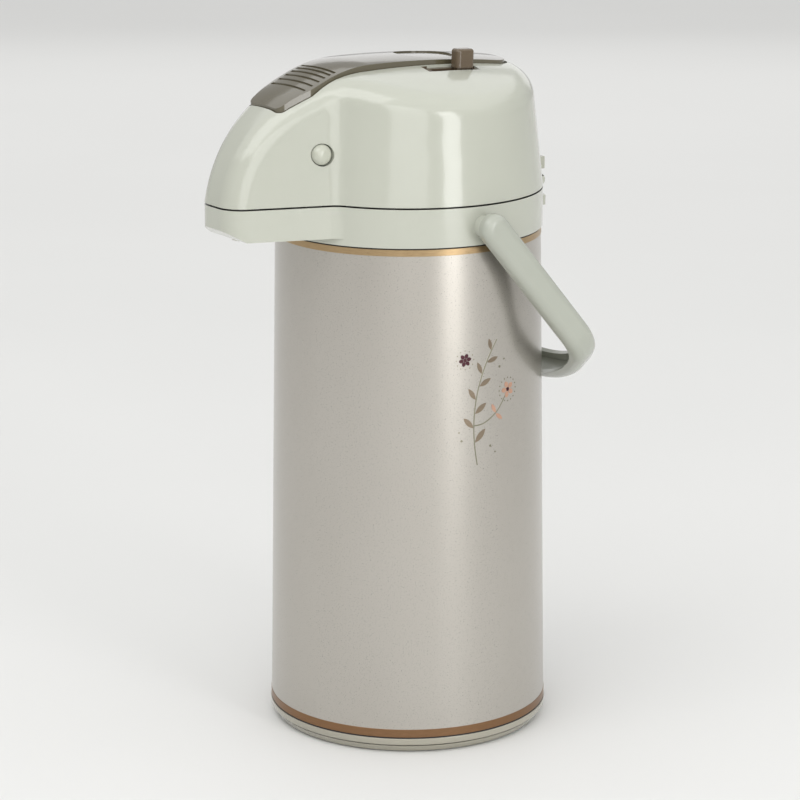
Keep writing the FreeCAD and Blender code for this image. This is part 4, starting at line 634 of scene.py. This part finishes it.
loose_beads = [(x, y, size, size, 0.0) for x, y, size in (
    (9.0, 18.0, 1.4), (12.5, 22.0, 1.1), (-17.0, -22.0, 1.4),
    (-18.5, -17.0, 1.0), (2.0, -27.0, 1.4), (5.5, -31.0, 1.0))]
trailed("Ornament_twig", [twig, sprig], width=0.75, finish=stem_foil)
stamped("Ornament_leaves", outer_leaves + inner_leaves, leaf_foil, pointed=1.0)
stamped("Ornament_buds", buds, rose_foil, pointed=0.8)
stamped("Ornament_petals", blossom(*rose_place, reach=3.0, count=5, turn=40.0), rose_foil, pointed=0.35)
stamped("Ornament_heart", hearts, plum_foil)
stamped("Ornament_plum_petals", blossom(*plum_place, reach=2.4, count=6, turn=10.0), plum_foil,
        pointed=0.5)
stamped("Ornament_beads", rings + loose_beads, stem_foil)

# Collar: the lower half of the head, moulded in the same light plastic as the
# lid, with painted shadow in the seam between them and painted dark brown shade in
# the knob's slot in the lid. It holds the sleeve's top edge, the pivots and the
# beak's floor.

head_plastic_and_painted_shade = moulded("Head plastic", (180, 182, 170), 0.17, coat=0.4)


def band(finish, axis, middle, reach):
    """1 within reach of a middle along an axis, in millimetres, and 0 beyond it."""
    place = finish.add("ShaderNodeSeparateXYZ", values={0: finish.place}, out=axis)
    return finish.add("ShaderNodeMath", {"operation": "COMPARE"}, {
        0: place, 1: middle * MM, 2: reach * MM})


# Painted shadow: a near-black band round both halves at the seam, where the gap between lid and collar
# lies in shade.
seam_level, seam_shadow_half = 317.75, 0.50
# Painted shade: the knob's slot in the lid coloured dark brown, where it lies in shade.
slot_middle, slot_half = (29.2, 9.7, 386.5), (4.78, 17.2, 4.0)
painted_seam_shadow = band(head_plastic_and_painted_shade, 2, seam_level, seam_shadow_half)
slot_shade_x, slot_shade_y, slot_shade_z = [
    band(head_plastic_and_painted_shade, axis, slot_middle[axis], slot_half[axis]) for axis in range(3)]
slot_painted_shade = slot_shade_x * slot_shade_y * slot_shade_z
body_colour = Value(head_plastic_and_painted_shade, head_plastic_and_painted_shade.shader.inputs["Base Color"].links[0].from_socket)
colour_with_slot_shade = head_plastic_and_painted_shade.mix(slot_painted_shade, body_colour, screen(84, 72, 58))
# The painted seam shadow goes over the plastic and the painted slot shade.
head_plastic_and_painted_shade.set({"Base Color": head_plastic_and_painted_shade.mix(painted_seam_shadow, colour_with_slot_shade, screen(24, 20, 18))})
skin_of("Collar", "collar", "head_shell", head_plastic_and_painted_shade)

# Mouth and pouring way: the ring that presses on the glass, the pipe with its
# strainer, and the hose and pipe that lead to the nozzle under the beak.

inner_plastic = moulded("Inner plastic", (228, 226, 218), 0.30)
pipe_plastic = moulded("Pipe plastic", (222, 220, 210), 0.24, coat=0.2)
skin_of("Mouth_ring", "mouth_ring", "inner_plastic", inner_plastic)
skin_of("Suction_pipe", "suction_pipe", "pipe", pipe_plastic)
skin_of("Pipe_strainer", "pipe_strainer", "inner_plastic", inner_plastic)
skin_of("Joint_hose", "joint_hose", "rubber", rubber)
skin_of("Outlet_pipe", "outlet_pipe", "pipe", pipe_plastic)
skin_of("Spout_nozzle", "spout_nozzle", "inner_plastic", inner_plastic)

# Handle: a smooth rounded bail of the head's plastic, a little greyer, that
# swings on two steel pins in the collar's bosses.

handle_plastic = moulded("Handle plastic", (168, 171, 160), 0.24, coat=0.3)
skin_of("Handle", "handle", "handle", handle_plastic)
skin_of("Handle_pin_left", "handle_pin_left", "steel", steel)
skin_of("Handle_pin_right", "handle_pin_right", "steel", steel)

# Lid: the domed shell with the top of the beak, hinged at the back on a steel
# pin, and the lever that frees it from the hinge.

skin_of("Lid_shell", "lid_shell", "head_shell", head_plastic_and_painted_shade)
skin_of("Hinge_pin", "hinge_pin", "steel", steel)
skin_of("Hinge_bracket", "hinge_bracket", "steel", steel)
lever_plastic = moulded("Lever plastic", (172, 173, 160), 0.24, coat=0.2)
skin_of("Detach_lever", "detach_lever", "lever", lever_plastic)

# Inside the lid: the floor plate held by four screws, the cup of the pump, and
# the stopper with its rubber gasket.

skin_of("Lid_floor", "lid_base", "inner_plastic", inner_plastic)
lid_screw_circle, lid_screw_level = 70.6, 318.8
screws("Lid_screws", "lid_screws", "lid",
       round_places(lid_screw_circle, lid_screw_level, (40, 140, 220, 320)),
       head=(2.8, 1.8), shank=(1.4, 12.6), recess=2.6)
skin_of("Pump_cup", "pump_chamber", "inner_plastic", inner_plastic)
skin_of("Stopper", "stopper", "inner_plastic", inner_plastic)
skin_of("Stopper_gasket", "stopper_gasket", "rubber", rubber)

# Pump: the folded bellows with a steel spring in it, the cap that the push
# plate presses, and the rubber valve that lets the air in.

bellows_foot, bellows_height = 317.8, 53.1
bellows_folds, bellows_outer, bellows_inner, bellows_skin = 6, 18.6, 14.6, 1.3
fold_steps = 12
bellows_rubber = moulded("Bellows rubber", (150, 150, 146), 0.5, grain=0.00002)
wave = []
wave_steps = bellows_folds * fold_steps
for step in range(wave_steps + 1):
    share = 0.5 - 0.5 * math.cos(math.tau * step / fold_steps)
    wave.append((bellows_inner + (bellows_outer - bellows_inner) * share,
                 bellows_foot + bellows_height * step / wave_steps))
hollow = [(radius - bellows_skin, level) for radius, level in reversed(wave)]
folded = turned("Bellows", wave + hollow, bellows_rubber, steps=96, sharp=60.0)
bellows = fitted(folded, "lid", "bellows", "bellows")

coiling = Making("Coiling")
coil_turns = coiling.size("Turns")
coil_reach = coiling.size("Coil radius")
coil_rise = coiling.size("Rise")
wire_reach = coiling.size("Wire radius")
spiral = coiling.add("GeometryNodeCurveSpiral", values={
    "Resolution": 40, "Rotations": coil_turns,
    "Start Radius": coil_reach, "End Radius": coil_reach, "Height": coil_rise,
})
wire = coiling.add("GeometryNodeCurvePrimitiveCircle", values={"Resolution": 12, "Radius": wire_reach})
coiling.end(coiling.add("GeometryNodeCurveToMesh", values={
    "Curve": spiral, "Profile Curve": wire, "Fill Caps": True,
}))


def spring(name, body, node, turns, coil_radius, wire_radius, rise, spot, lengthwise=False):
    """A steel spring on its place, upright or lying along X."""
    piece = coiling.make(name, bpy.data.meshes.new(name), steel, {
        "Turns": float(turns), "Coil radius": coil_radius * MM,
        "Wire radius": wire_radius * MM, "Rise": rise * MM,
    })
    for vertex in piece.data.vertices:
        x, y, z = vertex.co
        vertex.co = Vector((z, x, y)) if lengthwise else Vector((x, y, z))
        vertex.co += Vector(spot) * MM
    return fitted(piece, body, "steel", node)


bellows_spring = spring("Bellows_spring", "lid", "bellows_spring", turns=7, coil_radius=12.0,
                        wire_radius=0.8, rise=51.3, spot=(0.0, 0.0, 318.7))
for soft in (bellows, bellows_spring):
    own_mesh(soft)
skin_of("Pump_cap", "pump_cap", "inner_plastic", inner_plastic)
skin_of("Air_valve", "air_valve", "rubber", rubber)

# Push plate: the glossy olive brown paddle over the pump, grooved and slightly
# dished for the palm, that tips about a pin at the beak's brow.

plate_plastic = moulded("Plate plastic", (90, 84, 66), 0.14, coat=0.6)
skin_of("Push_plate", "push_plate", "push_plate", plate_plastic)
skin_of("Plate_pin", "plate_pin", "steel", steel)

# Lock knob: a brown slider with a rounded top, in a slot beside the plate.

knob_plastic = moulded("Knob plastic", (92, 78, 60), 0.26, coat=0.25)
skin_of("Lock_knob", "lock_slider", "lock_knob", knob_plastic)

# Lid buttons: a glossy dome on each side of the beak, with the hook that it
# draws and the small spring that returns it.

button_plastic = moulded("Button plastic", (182, 184, 170), 0.14, coat=0.5)
button_travel, button_y, button_z = 3.0, -76.0, 346.1
button_spring_radius, button_spring_wire, button_spring_turns = 3.2, 0.5, 5
spring_post, spring_length, spring_play = 12.9, 6.4, 0.05
spring_rise = spring_length - 2 * button_spring_wire - 2 * spring_play
for side, sign in (("left", -1), ("right", 1)):
    skin_of("Lid_button_" + side, "release_button_" + side, "buttons", button_plastic)
    skin_of("Latch_hook_" + side, "latch_hook_" + side, "inner_plastic", inner_plastic)
    low = spring_post if sign > 0 else -spring_post - spring_length
    spring_start = (low + button_spring_wire + spring_play, button_y, button_z)
    button_spring = spring("Button_spring_" + side, "lid", "button_spring_" + side, button_spring_turns,
                           button_spring_radius, button_spring_wire, spring_rise, spring_start,
                           lengthwise=True)
    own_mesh(button_spring)

# Stage: a plain pale floor, a wide soft light overhead, softboxes in front, on the
# flask's right and behind it, and the camera at the photograph's angle.

paper = Finish("Pale paper", {"Roughness": 0.7})
paper.set({"Base Color": paper.mix(paper.noise(0.4), screen(220, 220, 218), screen(224, 224, 222))})
floor_mesh = bpy.data.meshes.new("Floor")
span = 14.0
corners = [(-span, -span, 0), (span, -span, 0), (span, span, 0), (-span, span, 0)]
floor_mesh.from_pydata(corners, [], [(0, 1, 2, 3)])
floor_mesh.materials.append(paper.material)
floor = bpy.data.objects.new("Floor", floor_mesh)
bpy.context.scene.collection.objects.link(floor)

world = bpy.data.worlds.new("Studio")
world.use_nodes = True
sky = world.node_tree.nodes["Background"]
sky.inputs["Color"].default_value = (1.0, 1.0, 1.0, 1.0)
sky.inputs["Strength"].default_value = 0.46
bpy.context.scene.world = world
bpy.context.scene.view_settings.view_transform = "Standard"


def softbox(name, azimuth, distance, level, width, height, power, aim=0.22):
    """A soft light aimed at the flask, from an azimuth in degrees: 0 in front, 90 on its right."""
    lamp = bpy.data.lights.new(name, "AREA")
    lamp.shape = "RECTANGLE"
    lamp.size, lamp.size_y, lamp.energy = width, height, power
    light = bpy.data.objects.new(name, lamp)
    bpy.context.scene.collection.objects.link(light)
    turn = math.radians(azimuth)
    light.location = (distance * math.sin(turn), -distance * math.cos(turn), level)
    way = Vector((0, 0, aim)) - light.location
    light.rotation_euler = way.to_track_quat("-Z", "Y").to_euler()


softbox("Overhead light", azimuth=0.0, distance=0.0, level=5.0, width=14.0, height=14.0, power=400.0)
softbox("Key light", azimuth=15.0, distance=1.5, level=2.2, width=1.6, height=1.6, power=14.0)
softbox("Right light", azimuth=95.0, distance=1.75, level=0.6, width=0.5, height=1.3, power=9.5)
softbox("Back light", azimuth=237.0, distance=3.0, level=0.95, width=3.2, height=0.9, power=5.0)
softbox("Front light", azimuth=58.0, distance=2.4, level=1.1, width=1.5, height=1.5, power=12.0)

camera_side, camera_distance, camera_level = math.radians(57.0), 1.7, 0.62207
camera_pitch, axis_offset, focal_pixels, frame_pixels = 0.249153, 0.0026764, 2988.78, 800
sensor = 36.0
camera_data = bpy.data.cameras.new("Camera")
camera_data.sensor_width = sensor
camera_data.lens = focal_pixels / frame_pixels * sensor
camera = bpy.data.objects.new("Camera", camera_data)
bpy.context.scene.collection.objects.link(camera)
camera.location = (camera_distance * math.sin(camera_side),
                   -camera_distance * math.cos(camera_side), camera_level)
camera.rotation_euler = (math.pi / 2 - camera_pitch, 0.0, camera_side + axis_offset)
bpy.context.scene.camera = camera
